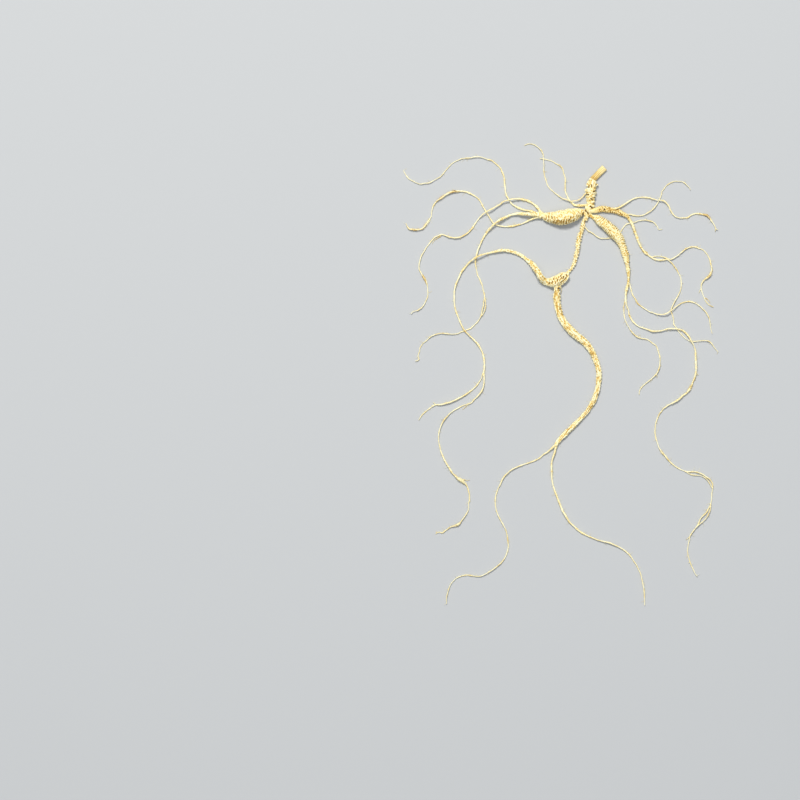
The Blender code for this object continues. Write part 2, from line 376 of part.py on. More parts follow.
def lay(route, laid, parent=None, passes_through=(), joins_end=False):
    """Rows of x, y, z and radius of one root, which climbs over the roots that lie there already."""
    rows = smooth_through(read_route(route))
    radius = rows[:, 2]
    along = length_along(rows)
    height = resting_height(radius, along, phase=len(laid) * 1.7)
    free = along > JOIN_REACH
    if joins_end:
        free &= along < along[-1] - JOIN_REACH
    for name, other in laid.items():
        if name in passes_through:
            continue
        gaps = np.linalg.norm(rows[:, None, :2] - other[None, :, :2], axis=2)
        nearest = gaps.argmin(axis=1)
        near = gaps.min(axis=1) < radius + other[nearest, 3] + CROSSING_GAP
        for index in np.flatnonzero(near & free):
            under = other[nearest[index]]
            height = raised(height, along, index, under[2] + under[3] + radius[index] + CROSSING_GAP)
    if parent is not None:
        other = laid[parent]
        start = np.linalg.norm(other[:, :2] - rows[0, :2], axis=1).argmin()
        height = raised(height, along, 0, other[start, 2])
    if joins_end:
        start = np.linalg.norm(laid[parent][:, :2] - rows[-1, :2], axis=1).argmin()
        height = raised(height, along, len(along) - 1, laid[parent][start, 2])
    return np.column_stack([rows[:, :2], height, radius])


def ringed(rows, ring, relief):
    """Rows one ring apart, by turns wide and narrow, for the growth rings of a plump root."""
    along = length_along(rows)
    places = np.linspace(0, along[-1], max(3, round(along[-1] / ring)))
    kept = np.column_stack([np.interp(places, along, column) for column in rows.T])
    kept[1:-1:2, 3] *= 1 + relief
    kept[2:-1:2, 3] *= 1 - relief
    return kept


def strays(rows):
    """How far the rows between the first and the last lie from the straight line between those two."""
    offsets = rows[:, :3] - rows[0, :3]
    line = offsets[-1] / np.linalg.norm(offsets[-1])
    return np.linalg.norm(offsets - np.outer(offsets @ line, line), axis=1).max()


def thinned(rows):
    """The fewest rows whose straight runs stay close to the smooth curve of a thin root."""
    kept = [0]
    last = len(rows) - 1
    while kept[-1] < last:
        end = kept[-1] + 1
        while end < last and strays(rows[kept[-1] : end + 2]) < THIN_TOLERANCE:
            end += 1
        kept.append(end)
    return rows[kept]


def tube(name, rows, sides):
    """A closed mesh tube through the rows, made from a bevelled curve. Its sides are an even number."""
    curve = bpy.data.curves.new(name, "CURVE")
    curve.dimensions = "3D"
    curve.bevel_depth = 1
    curve.bevel_resolution = (sides - 4) // 2
    curve.use_fill_caps = True
    spline = curve.splines.new("POLY")
    spline.points.add(len(rows) - 1)
    for point, (x, y, z, radius) in zip(spline.points, rows):
        point.co = (x, y, z, 1)
        point.radius = radius
    path = bpy.data.objects.new(name + "_path", curve)
    bpy.context.scene.collection.objects.link(path)
    graph = bpy.context.evaluated_depsgraph_get()
    mesh = bpy.data.meshes.new_from_object(path.evaluated_get(graph))
    place = path.matrix_world.copy()
    bpy.data.objects.remove(path)
    shell = bmesh.new()
    shell.from_mesh(mesh)
    bmesh.ops.remove_doubles(shell, verts=shell.verts, dist=WELD)
    bmesh.ops.recalc_face_normals(shell, faces=shell.faces)
    shell.to_mesh(mesh)
    shell.free()
    made = bpy.data.objects.new(name, mesh)
    made.matrix_world = place
    return made


def make_buds(rhizome):
    """Buds and old stem scars that stand out of the rhizome as small rounded knobs."""
    buds = []
    for index, (x, y, radius, share) in enumerate(BUDS):
        place = on_surface(x, y)
        nearest = rhizome[np.linalg.norm(rhizome[:, :2] - place, axis=1).argmin()]
        shape = bmesh.new()
        bmesh.ops.create_icosphere(shape, subdivisions=2, radius=radius * PIXEL)
        bmesh.ops.rotate(shape, verts=shape.verts, matrix=Matrix.Rotation(index * BUD_TURN, 3, "Z"))
        bmesh.ops.translate(shape, verts=shape.verts, vec=(*place, nearest[2] * share))
        mesh = bpy.data.meshes.new(f"bud_{index}")
        shape.to_mesh(mesh)
        shape.free()
        buds.append(bpy.data.objects.new(mesh.name, mesh))
    return buds


def make_stalk(rhizome):
    """The foot of the dry stalk: a flattened straw with a square cut end."""
    foot = np.array(on_surface(*STALK_FOOT))
    cut = np.array(on_surface(*STALK_CUT))
    length = np.linalg.norm(cut - foot)
    angle = math.atan2(cut[1] - foot[1], cut[0] - foot[0])
    shape = bmesh.new()
    bmesh.ops.create_cone(
        shape, cap_ends=True, segments=STALK_SIDES, radius1=STALK_TAPER / 2, radius2=1 / 2, depth=1
    )
    for point in shape.verts:
        x, y, z = point.co
        point.co = (z * length, x * STALK_WIDTH, y * STALK_THICKNESS)
    bmesh.ops.rotate(shape, verts=shape.verts, matrix=Matrix.Rotation(angle, 3, "Z"))
    middle = (foot + cut) / 2
    bmesh.ops.translate(shape, verts=shape.verts, vec=(*middle, rhizome[0, 2] + STALK_THICKNESS / 4))
    bmesh.ops.recalc_face_normals(shape, faces=shape.faces)
    mesh = bpy.data.meshes.new("stalk_foot")
    shape.to_mesh(mesh)
    shape.free()
    return bpy.data.objects.new("stalk_foot", mesh)


def lay_all():
    """Every root by name, in the order in which they lie over each other."""
    laid = {}
    laid["rhizome"] = lay(RHIZOME, laid)
    laid["spindle"] = lay(SPINDLE, laid, "rhizome", passes_through=("rhizome",))
    laid["left_fourth"] = lay(LEFT_FOURTH, laid, "spindle")
    laid["left_second"] = lay(LEFT_SECOND, laid, "spindle")
    laid["left_third"] = lay(LEFT_THIRD, laid, "spindle")
    laid["left_third_side"] = lay(LEFT_THIRD_SIDE, laid, "left_third", ("left_third",), joins_end=True)
    laid["left_first"] = lay(LEFT_FIRST, laid, "spindle")
    laid["central_root"] = lay(CENTRAL_ROOT, laid, "rhizome", passes_through=("rhizome", "spindle"))
    laid["central_rootlet"] = lay(CENTRAL_ROOTLET, laid, "central_root")
    laid["right_arm"] = lay(RIGHT_ARM, laid, "rhizome", passes_through=("rhizome", "central_root"))
    laid["right_arm_eye"] = lay(RIGHT_ARM_EYE, laid, "right_arm", ("right_arm",), joins_end=True)
    laid["right_fine"] = lay(RIGHT_FINE, laid, "right_arm")
    laid["right_top"] = lay(RIGHT_TOP, laid, "right_arm")
    laid["right_arm_branch"] = lay(RIGHT_ARM_BRANCH, laid, "right_arm")
    beside_crown = ("rhizome", "central_root", "central_rootlet", "right_arm")
    laid["banana"] = lay(BANANA, laid, "rhizome", passes_through=beside_crown)
    laid["banana_upper_side"] = lay(BANANA_UPPER_SIDE, laid, "banana", ("banana",), joins_end=True)
    laid["banana_lower_side"] = lay(BANANA_LOWER_SIDE, laid, "banana", ("banana",), joins_end=True)
    laid["banana_inner_branch"] = lay(BANANA_INNER_BRANCH, laid, "banana")
    laid["banana_outer_branch"] = lay(BANANA_OUTER_BRANCH, laid, "banana")
    laid["lump"] = lay(LUMP, laid, "central_root", passes_through=("central_root",))
    laid["left_arm"] = lay(LEFT_ARM, laid, "lump")
    laid["left_arm_branch"] = lay(LEFT_ARM_BRANCH, laid, "left_arm")
    laid["tail"] = lay(TAIL, laid, "lump", passes_through=("lump",))
    laid["tail_right_fork"] = lay(TAIL_RIGHT_FORK, laid, "tail")
    laid["tail_left_fork"] = lay(TAIL_LEFT_FORK, laid, "tail")
    laid["crown_rootlet"] = lay(CROWN_ROOTLET, laid, "rhizome")
    laid["rhizome_rootlet"] = lay(RHIZOME_ROOTLET, laid, "rhizome")
    return laid


# How each thicker root's surface is drawn: sides, ring spacing and ring relief. The rest are thin.
RINGED = {
    "rhizome": (12, RHIZOME_RING, RHIZOME_RELIEF),
    "spindle": (12, PLUMP_RING, PLUMP_RELIEF),
    "lump": (12, LUMP_RING, LUMP_RELIEF),
    "central_root": (8, ARM_RING, ARM_RELIEF),
    "tail": (8, TAIL_RING, ARM_RELIEF),
}
# These begin plump and ringed and run out into a thin root: the length of the ringed part
RINGED_START = {
    "banana": (10, PLUMP_RING, PLUMP_RELIEF, 0.052),
    "right_arm": (8, ARM_RING, ARM_RELIEF, 0.034),
    "left_arm": (8, ARM_RING, ARM_RELIEF, 0.050),
}
RUN_OVERLAP = 3  # dense rows that the ringed part and the thin run share
THIN_SIDES = 6


def root_tube(name, rows):
    if name in RINGED:
        sides, ring, relief = RINGED[name]
        return [tube(name, ringed(rows, ring, relief), sides)]
    if name in RINGED_START:
        sides, ring, relief, length = RINGED_START[name]
        split = np.searchsorted(length_along(rows), length)
        start = tube(name, ringed(rows[: split + RUN_OVERLAP], ring, relief), sides)
        return [start, tube(name + "_run", thinned(rows[split:]), THIN_SIDES)]
    return [tube(name, thinned(rows), THIN_SIDES)]


def skin():
    material = bpy.data.materials.new("dried_ginseng_skin")
    material.use_nodes = True
    shader = material.node_tree.nodes["Principled BSDF"]
    shader.inputs["Base Color"].default_value = SKIN_COLOUR
    shader.inputs["Roughness"].default_value = SKIN_ROUGHNESS
    shader.inputs["Metallic"].default_value = 0
    return material


def apply_modifiers(made):
    graph = bpy.context.evaluated_depsgraph_get()
    mesh = bpy.data.meshes.new_from_object(made.evaluated_get(graph))
    made.modifiers.clear()
    made.data = mesh


def main():
    for found in list(bpy.data.objects):
        bpy.data.objects.remove(found)
    home = bpy.data.collections.new(COLLECTION_NAME)
    pieces = bpy.data.collections.new("roots_to_join")
    bpy.context.scene.collection.children.link(home)
    bpy.context.scene.collection.children.link(pieces)

    laid = lay_all()
    root, *others = root_tube("rhizome", laid["rhizome"])
    root.name = "ginseng_root"
    home.objects.link(root)
    for name, rows in laid.items():
        if name != "rhizome":
            others += root_tube(name, rows)
    others += make_buds(laid["rhizome"])
    others.append(make_stalk(laid["rhizome"]))
    for other in others:
        pieces.objects.link(other)

    join = root.modifiers.new("join_roots", "BOOLEAN")
    join.operand_type = "COLLECTION"
    join.operation = "UNION"
    join.solver = "EXACT"
    join.collection = pieces
    apply_modifiers(root)
    for other in others:
        bpy.data.objects.remove(other)
    bpy.data.collections.remove(pieces)

    # The undersides that would press into the surface are flat where the root rests on it
    bpy.ops.mesh.primitive_cube_add(size=1, location=(0, 0, -SURFACE_DEPTH / 2))
    surface = bpy.context.object
    surface.name = "resting_surface"
    surface.scale = (2 * ROOT_LENGTH, 2 * ROOT_LENGTH, SURFACE_DEPTH)
    surface.hide_render = True
    surface.display_type = "WIRE"
    flatten = root.modifiers.new("flat_underside", "BOOLEAN")
    flatten.operation = "DIFFERENCE"
    flatten.solver = "EXACT"
    flatten.object = surface

    root.data.materials.clear()
    root.data.materials.append(skin())
    root.data.shade_smooth()
    root.data.set_sharp_from_angle(angle=math.radians(50))


main()
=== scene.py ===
# %% [markdown]
# # A dried wild ginseng root, seen from above
#
# The real thing is one piece that grew underground for many years and was then dried. On top sits the
# rhizome, a knobbly neck with a scar for each year's stalk. Below it hang a few plump roots with fine growth
# rings, and from those run rootlets as thin as string, far out to both sides. Here it lies on a table, spread
# out flat.
#
# The solid root is given, and this script dresses it. A fixed frame gives the size and the place of
# everything, in metres. Nothing in it is moved: a finer skin is built right over it.

import math
import random

import bpy
import numpy as np
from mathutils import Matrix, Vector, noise


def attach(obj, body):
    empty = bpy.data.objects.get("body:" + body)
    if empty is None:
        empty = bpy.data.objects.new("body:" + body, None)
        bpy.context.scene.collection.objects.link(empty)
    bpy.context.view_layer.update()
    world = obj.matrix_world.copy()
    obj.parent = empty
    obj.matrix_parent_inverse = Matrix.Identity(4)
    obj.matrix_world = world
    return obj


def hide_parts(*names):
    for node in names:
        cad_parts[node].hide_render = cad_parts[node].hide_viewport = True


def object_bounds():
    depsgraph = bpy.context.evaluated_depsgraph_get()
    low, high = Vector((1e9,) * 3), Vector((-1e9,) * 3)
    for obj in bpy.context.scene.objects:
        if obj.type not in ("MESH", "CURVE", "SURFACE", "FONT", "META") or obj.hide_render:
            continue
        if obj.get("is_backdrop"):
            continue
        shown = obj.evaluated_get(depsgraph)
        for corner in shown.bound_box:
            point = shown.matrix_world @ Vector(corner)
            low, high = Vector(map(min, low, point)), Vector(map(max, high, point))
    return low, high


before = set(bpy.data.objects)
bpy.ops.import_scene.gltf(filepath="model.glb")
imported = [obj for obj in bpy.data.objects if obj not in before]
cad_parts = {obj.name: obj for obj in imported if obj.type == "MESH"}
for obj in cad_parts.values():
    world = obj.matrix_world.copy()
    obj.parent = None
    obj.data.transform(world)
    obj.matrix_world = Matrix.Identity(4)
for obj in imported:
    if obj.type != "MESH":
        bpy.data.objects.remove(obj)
cad_low, cad_high = (np.array(corner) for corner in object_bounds())
MM = 0.001
print("the solid root measures", np.round((cad_high - cad_low) / MM, 1), "mm")

# %% [markdown]
# ## The top view and the camera
#
# The routes of all the roots were read from a top view of 800 by 800 pixels. The highest rootlet and the
# end of the tail are a known length apart on the real root, so one pixel is a known length too.
#
# A camera could stand close, but then a thick root would hide more of its neighbours than it does in the top
# view. A long lens from far above sees all of them straight on, so that is the one used.

# %% Place the camera
ROOT_LENGTH = 388 * MM
VIEW_SIZE = 800
VIEW_TOP = 143.2
VIEW_FOOT = 605.65
VIEW_LEFT = 403.0
VIEW_RIGHT = 718.9
PIXEL = ROOT_LENGTH / (VIEW_FOOT - VIEW_TOP)
LENS = 200
SENSOR = 36
CLIP_END = 50
HALF_HEIGHT = 3 * MM  # the height at which the scale of the view is exact


def on_surface(x, y):
    """A place in the top view as metres from the middle of the root's box."""
    middle_x = (VIEW_LEFT + VIEW_RIGHT) / 2
    middle_y = (VIEW_TOP + VIEW_FOOT) / 2
    return (x - middle_x) * PIXEL, (middle_y - y) * PIXEL


camera_height = VIEW_SIZE * PIXEL * LENS / SENSOR + HALF_HEIGHT
camera_x, camera_y = on_surface(VIEW_SIZE / 2, VIEW_SIZE / 2)
bpy.ops.object.camera_add(location=(camera_x, camera_y, camera_height), rotation=(0, 0, 0))
camera = bpy.context.object
camera.name = "top_camera"
camera.data.lens = LENS
camera.data.sensor_width = SENSOR
camera.data.clip_end = CLIP_END
bpy.context.scene.camera = camera
print(f"one pixel is {PIXEL / MM:.3f} mm, and the camera is {camera_height:.2f} m up")

# %% [markdown]
# ## Table and light
#
# A root this pale needs a table that is a little cooler and darker than its skin, or its edges are lost. The
# light is a broad panel beyond the top of the view, as a window would be, so that every ring and fold has a
# bright side and a soft shadow below it. A second broad panel overhead lifts the shadows. A small hard lamp
# would show the relief more strongly, but would also draw a black line beside every rootlet.

# %% Two helpers that the whole script uses


def paint(code):
    """A colour picked on screen, as a hex code, turned into the linear values that a shader works with."""
    parts = [int(code[index : index + 2], 16) / 255 for index in (1, 3, 5)]
    linear = [part / 12.92 if part <= 0.04045 else ((part + 0.055) / 1.055) ** 2.4 for part in parts]
    return (*linear, 1)


def add_node(tree, kind, inputs=None, stops=None, **settings):
    """Adds one node, sets it up, and fills its inputs with plain values or links them to other outputs."""
    node = tree.nodes.new("ShaderNode" + kind)
    for name, value in settings.items():
        setattr(node, name, value)
    for place, (position, colour) in enumerate(stops or ()):
        elements = node.color_ramp.elements  # a new ramp has two, and sorts the others in between
        element = elements[place] if place < 2 else elements.new(position)
        element.position = position
        element.color = colour
    for name, value in (inputs or {}).items():
        if isinstance(value, bpy.types.NodeSocket):
            tree.links.new(value, node.inputs[name])
        else:
            node.inputs[name].default_value = value
    return node


print("white in linear values is", paint("#ffffff")[:3], "and half grey", round(paint("#808080")[0], 3))

# %% The table
TABLE_SIZE = 8
TABLE_DROP = 0.03 * MM  # just below the flats on which the root rests
PAPER_COLOUR = "#bcc1c7"
PAPER_GRAIN = 0.6 * MM
PAPER_DEPTH = 0.05 * MM
PAPER_BUMP = 0.15
PAPER_ROUGHNESS = 0.9
PAPER_SHINE = 0.2


def matt_paper():
    """Matt card, made from pressed fibre, which scatters light evenly and has no shine of its own."""
    material = bpy.data.materials.new("matt_card")
    material.use_nodes = True
    tree = material.node_tree
    shader = tree.nodes["Principled BSDF"]
    shader.inputs["Base Color"].default_value = paint(PAPER_COLOUR)
    shader.inputs["Roughness"].default_value = PAPER_ROUGHNESS
    shader.inputs["Specular IOR Level"].default_value = PAPER_SHINE
    place = add_node(tree, "TexCoord").outputs["Object"]
    fibres = add_node(tree, "TexNoise", {"Vector": place, "Scale": 1 / PAPER_GRAIN}).outputs["Fac"]
    bump = add_node(tree, "Bump", {"Height": fibres, "Strength": PAPER_BUMP, "Distance": PAPER_DEPTH})
    tree.links.new(bump.outputs["Normal"], shader.inputs["Normal"])
    return material


bpy.ops.mesh.primitive_plane_add(size=TABLE_SIZE, location=(0, 0, -TABLE_DROP))
table = bpy.context.object
table.name = "table_top"
table.data.materials.append(matt_paper())
table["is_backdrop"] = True
print("the table is", TABLE_SIZE, "m wide")

# %% The lights
ROOM_COLOUR = "#eef0f3"
ROOM_LIGHT = 0.34


def soft_panel(name, location, size, power, colour):
    """A square light panel that faces the middle of the root and doesn't show itself."""
    bpy.ops.object.light_add(type="AREA", location=location)
    panel = bpy.context.object
    panel.name = name
    panel.data.size = size
    panel.data.energy = power
    panel.data.color = paint(colour)[:3]
    panel.rotation_euler = (-panel.location).to_track_quat("-Z", "Y").to_euler()
    panel.visible_camera = False
    return panel


soft_panel("window_panel", (-0.6, 1.8, 3.3), 0.8, 126, "#fff9ee")
soft_panel("overhead_panel", (0.2, -0.3, 3.6), 3.0, 34, "#ffffff")
world = bpy.data.worlds.new("pale_room")
world.use_nodes = True
world.node_tree.nodes["Background"].inputs["Color"].default_value = paint(ROOM_COLOUR)
world.node_tree.nodes["Background"].inputs["Strength"].default_value = ROOM_LIGHT
bpy.context.scene.world = world
bpy.context.scene.view_settings.view_transform = "Standard"

# %% [markdown]
# ## The routes of the roots
#
# A rootlet is like a cord: its curves have no rule that a formula could give. They could be drawn by hand
# with a curve tool, and this list is the same thing written down. Each point is a place in the top view, with
# y downwards, and some have a third number, the width there. Points without one take a width between their
# neighbours'. The knot and the waist under the neck were read a second time for this skin, and are a little
# slimmer than in the plain solid.

# %% The neck, the plump roots and the tail
RHIZOME = [
    (591.5, 178, 3.5), (591.5, 180.5, 6), (591.8, 183, 9.5), (592, 186, 9.6), (592, 188.5, 8.4),
    (590.8, 191, 10.2), (591, 194, 8.8), (590.7, 197, 9.6), (590.4, 200, 8), (590.6, 203, 7.6),
    (589.8, 206, 7.6), (588.3, 209, 7), (588, 212, 6.4), (587.4, 215, 5),
]
CENTRAL_ROOT = [
    (588, 209, 5), (587.4, 213, 5.4), (586.8, 216, 5.6), (586, 218.6, 5), (584.4, 220.6, 4),
    (583, 222.1, 2.7), (583.2, 223.9, 4.2), (582.8, 226, 4.7), (582, 230, 4.1), (580.1, 235, 4.4),
    (578.7, 240, 4.8), (578.1, 245, 4.6), (577.6, 250, 4.2), (576.3, 255, 4.5), (575.3, 260, 3.8),
    (573.6, 265, 3.7), (571.5, 268.3, 3.4), (568.8, 271.5, 3.2), (566, 275, 4),
]
LUMP = [
    (568, 274.8, 4), (566, 275.6, 7.2), (563.4, 276.4, 9.6), (560.4, 278.5, 10.4), (557, 280.6, 11.2),
    (553, 282, 11), (549, 282.2, 8.6), (545, 281.4, 7.2), (541, 279, 6),
]
TAIL = [
    (556, 283.5, 6), (556.8, 287.5, 6), (557, 291, 6.6), (557, 296, 7.4), (557.2, 301, 7.2),
    (557.8, 306, 6.8), (558.8, 311, 6.8), (560.5, 316, 7), (562.8, 320.5, 7.2), (565.5, 324.5, 7.5),
    (568.8, 328.3, 8), (572, 331.5, 8), (575, 334.3, 7.6), (578.5, 337.3, 7.4), (582, 340, 7.2),
    (585.6, 343.1, 6.8), (589, 347.1, 6.6), (591.6, 351.2, 6.2), (594, 355.7, 5.9), (596, 360.3, 5.8),
    (597.5, 364.8, 5.7), (598.7, 370, 5.7), (599.1, 375, 5.6), (598.8, 380, 5.5), (598.2, 385, 5.4),
    (597.3, 390.2, 5.4), (595.7, 395.3, 5.5), (593.8, 399.9, 5.5), (591.7, 404.1, 5.3),
    (589.1, 408.5, 5), (586.4, 412.5, 4.7), (582.9, 416.1, 4.5), (579.9, 419.5, 4.7),
    (576.6, 422.8, 5.2), (573.3, 426.3, 5.3), (571.2, 428.3, 5), (568.3, 430.7, 5.4),
    (565.6, 433.7, 5.2), (562.6, 436.6, 5), (559.6, 440, 4.8), (557.1, 443, 4.1), (555.5, 446, 3.2),
]
TAIL_LEFT_FORK = [
    (556.5, 444.6, 3.2), (553.6, 446.6, 2.6), (550.8, 449.2, 1.9), (547.5, 452, 1.5), (542.8, 455),
    (540.5, 457.2, 1.5), (534.7, 460.6), (529.5, 462.6), (524.4, 464.3, 1.4), (516.3, 467.4),
    (511, 470.3), (508.1, 472.6), (504, 476.9), (501.9, 480.3), (500.4, 484.3), (498.9, 487),
    (497.3, 491), (496.3, 494), (495.4, 498.5), (495.3, 503, 1.4), (496.3, 510), (498.5, 516),
    (501, 520.8), (503.7, 525.5), (505.4, 529), (506.7, 533.3, 1.3), (507.6, 538.5), (508, 542),
    (508.4, 546.3, 1.3), (507.6, 550.7), (506.3, 554.6), (504.5, 558.5), (502.4, 561.5), (499.8, 564.1),
    (496.3, 567.1, 1.2), (492.8, 569.7), (489.8, 571.5), (486.8, 573.4), (483.7, 574.9),
    (480.3, 576.3, 1), (475.9, 576.3), (471.6, 575.8), (468.1, 575.3, 1.2), (464.7, 575.4),
    (460.3, 576.5), (457.7, 577.5), (455.1, 579.3), (452.5, 581.9), (450.4, 584.9, 1), (449.1, 588),
    (448, 591.6), (447.1, 595.4), (446.5, 598.8), (446.6, 604, 0.9),
]
TAIL_RIGHT_FORK = [
    (556.5, 445, 2.6), (555.4, 449.5, 2.3), (554.4, 453.5, 2.5), (553, 457.5, 2.5), (551.9, 462, 2.1),
    (551.6, 467, 2.1), (551.8, 472, 2.1), (552, 477, 2.2), (552.4, 481.7, 2.1), (553.4, 486.2, 2.1),
    (555.1, 491.3, 2.1), (557, 496.8, 2.1), (558.7, 500.8), (560.4, 505.1), (562.2, 509.9, 2.3),
    (564.8, 514.3, 2.5), (567.6, 519, 2.2), (570.3, 522.9, 2), (573.4, 525.7, 2), (576.8, 528.8, 2.1),
    (580.7, 532), (585.1, 534.6, 1.9), (589.4, 536.6), (593.7, 538.4, 1.8), (599.8, 540.6),
    (605.9, 541.9, 1.8), (610.9, 543.4), (615.2, 545.3), (620.6, 547.9, 1.6), (624.5, 550.4),
    (628.4, 553.7), (631.4, 557.2, 1.4), (634, 561.5), (636.6, 565), (638.4, 569.3),
    (640.5, 573.2, 1.3), (641.6, 577.5), (642.7, 582.7, 1.4), (643.5, 587), (644.2, 591.4),
    (644.6, 596.6), (644.8, 600.9, 1.3), (644.8, 605.6, 1.5),
]
SPINDLE = [
    (587.5, 211, 4), (585, 211.2, 3.4), (583, 211.8, 6), (581, 212.2, 8), (578, 212.9, 10),
    (574, 214.7, 13), (570, 215.9, 14.6), (565, 217.3, 15), (560, 218, 14.8), (555, 218, 12.8),
    (550, 217.4, 10.6), (546, 216.5, 8.8), (543.2, 215.5, 6.2), (541, 215, 7), (538.5, 215, 6.4),
    (535.5, 215, 5.4), (532.5, 214.9, 4),
]
print("the tail has", len(TAIL), "points and the left plump root", len(SPINDLE))

# %% The rootlets on the left
LEFT_FIRST = [
    (541.5, 214, 3.4), (540, 211.5, 3), (538.8, 209.2), (536, 206, 3), (533, 203.5), (529, 201.2),
    (525, 199.9, 2.6), (520, 198.9, 2.4), (516, 198.8), (512, 199.2), (508, 200.2, 2), (504, 201.3),
    (500.2, 204.1, 2), (496.3, 206.5), (492.3, 208.8), (488.8, 210.5, 1.7), (486.4, 211.9),
    (483.4, 213.9), (480.4, 216.6), (478.5, 218.9), (476.7, 221.4, 1.5), (474.7, 224.4), (472.7, 227.4),
    (470.6, 230), (467.3, 233.2), (464, 235.3), (461, 236.7), (457, 237.8, 1.8), (453, 237.6),
    (449, 236.9, 1.8), (445, 235.3), (442, 234.5, 1.5), (438, 235.7), (435, 237.2), (432.6, 239.4, 1.2),
    (430.8, 241.6), (428.8, 244.3), (426.3, 247.6), (424.6, 250.4, 1.1), (423.2, 252.9), (421.5, 255.5),
    (420.5, 258.5), (419.5, 262, 1.2), (419, 266), (419.3, 269.5), (421, 272.8), (422.8, 276.2),
    (425.4, 279.6, 1.6), (427, 283.8), (427.5, 287, 1.2), (427.8, 291), (427.8, 296), (426.5, 299.5),
    (425, 302.5), (423.3, 305.5), (420.5, 308.3, 1), (417.5, 310.3), (414, 311.2), (412, 312.5),
    (411.2, 314, 1),
]
LEFT_SECOND = [
    (537.5, 214, 4), (535, 212.8, 3), (532, 211.5), (529, 210.7, 2.4), (525, 210, 2.2), (520, 208.5),
    (516, 206.5, 1.8), (512.5, 204.3), (510.5, 202), (509.5, 199.8), (508, 198), (506.5, 195, 1.5),
    (505.5, 192), (505.3, 188), (504.7, 184), (504.5, 180, 1.6), (504, 176.5), (503, 173.5),
    (502, 171.5), (501, 169), (499.5, 167, 1.4), (497, 164.5), (494.5, 162.5), (491.5, 160.3, 1.3),
    (488, 159.5), (485, 158.3), (482, 157.2), (478, 156.7, 1.4), (474, 156.9), (470, 157.8), (466, 158),
    (462, 158.5, 1), (459, 159.7), (456, 161), (453, 162.8), (450.5, 165), (448, 167.7), (446, 170),
    (444, 172.5), (442, 175), (440, 177), (437, 178.5), (434, 180.2), (431, 182), (428, 183),
    (424, 183.3), (420, 184), (416, 182.5), (413.5, 181.2), (411, 180), (408.5, 178.3), (407, 176.5),
    (405.5, 174), (404.3, 172), (403.5, 170, 1),
]
LEFT_THIRD = [
    (538, 215, 5), (534, 215, 4), (530, 214.5), (526, 214.3, 3.6), (521, 213.8, 3.6), (517, 213.7),
    (513, 214.5, 3.3), (509, 215.8), (505, 217.6, 3), (501, 219.5), (497, 222, 2.7), (493.5, 224.8, 2.6),
    (490, 228.3), (487.5, 231.5), (485, 235, 2.4), (483, 238.5), (481, 242.5, 2.1), (479.5, 246),
    (478, 249.5, 2), (477, 253), (476.3, 256.5), (475.5, 260, 1.5), (475.5, 264), (476.2, 268),
    (477, 271.5), (477.7, 275, 1.4), (479.5, 278.5), (481, 282), (482.5, 286), (483.3, 290),
    (484.2, 294, 1.4), (484.5, 298), (483.8, 302), (483.3, 306), (482.3, 310, 1.2), (481.5, 314),
    (480.3, 317.5), (478.5, 320.5), (476, 323.3), (473, 326), (470.5, 328.5, 1.2), (467, 329.8),
    (464.5, 331), (461.5, 331.7), (458.5, 333.3), (455, 334), (451.5, 334, 1), (447, 333.8),
    (443, 333.2), (439, 333.5), (436, 334.3), (432, 335.8), (429, 338), (426.5, 340.5), (424, 342.5),
    (421.5, 345.2), (420, 347.8), (419.5, 351, 1), (418.5, 354), (418, 356.5), (419, 359), (418, 360.3),
    (415, 361, 1),
]
LEFT_THIRD_SIDE = [
    (484.3, 295, 1.2), (485.1, 299), (485.6, 304, 1), (485.4, 308), (484.5, 311), (483, 314),
    (481.2, 316, 1.1),
]
LEFT_FOURTH = [
    (538.5, 216.5, 3.6), (536, 217.5, 2.6), (533, 218.5), (529, 220.3, 2), (525, 222.3), (521, 224),
    (516, 225.3, 2), (511, 226.2), (506, 226.6), (502, 226.2), (498, 225.3, 1.8), (494, 223.5),
    (491, 219.5, 1.6), (489, 216.5), (487.5, 214), (486, 211.5), (484.5, 208.8), (482.5, 205.5),
    (481, 202.5, 1.5), (479, 199.3), (476.5, 197), (473, 194.8), (470, 193.2), (466, 191.7, 1.8),
    (462, 191.2), (458, 191.1), (455, 191.2, 2), (451, 192, 2), (447, 194, 2), (443.5, 196.3),
    (440, 198.8, 1.6), (437.5, 200.5), (435, 203), (433, 206.3, 1.4), (432, 210), (431.5, 213.5, 1.2),
    (431.2, 216.5), (429.5, 219.5), (427.5, 222.5), (425.5, 225, 1.7), (423.3, 227.5), (420.5, 229.2),
    (417, 229.7, 1.6), (413, 229.2), (410, 229, 1.4), (407.5, 226.8), (406.5, 224.5), (406.2, 223, 1),
]
print("the rootlets on the left have", len(LEFT_FIRST + LEFT_SECOND + LEFT_THIRD + LEFT_FOURTH), "points")

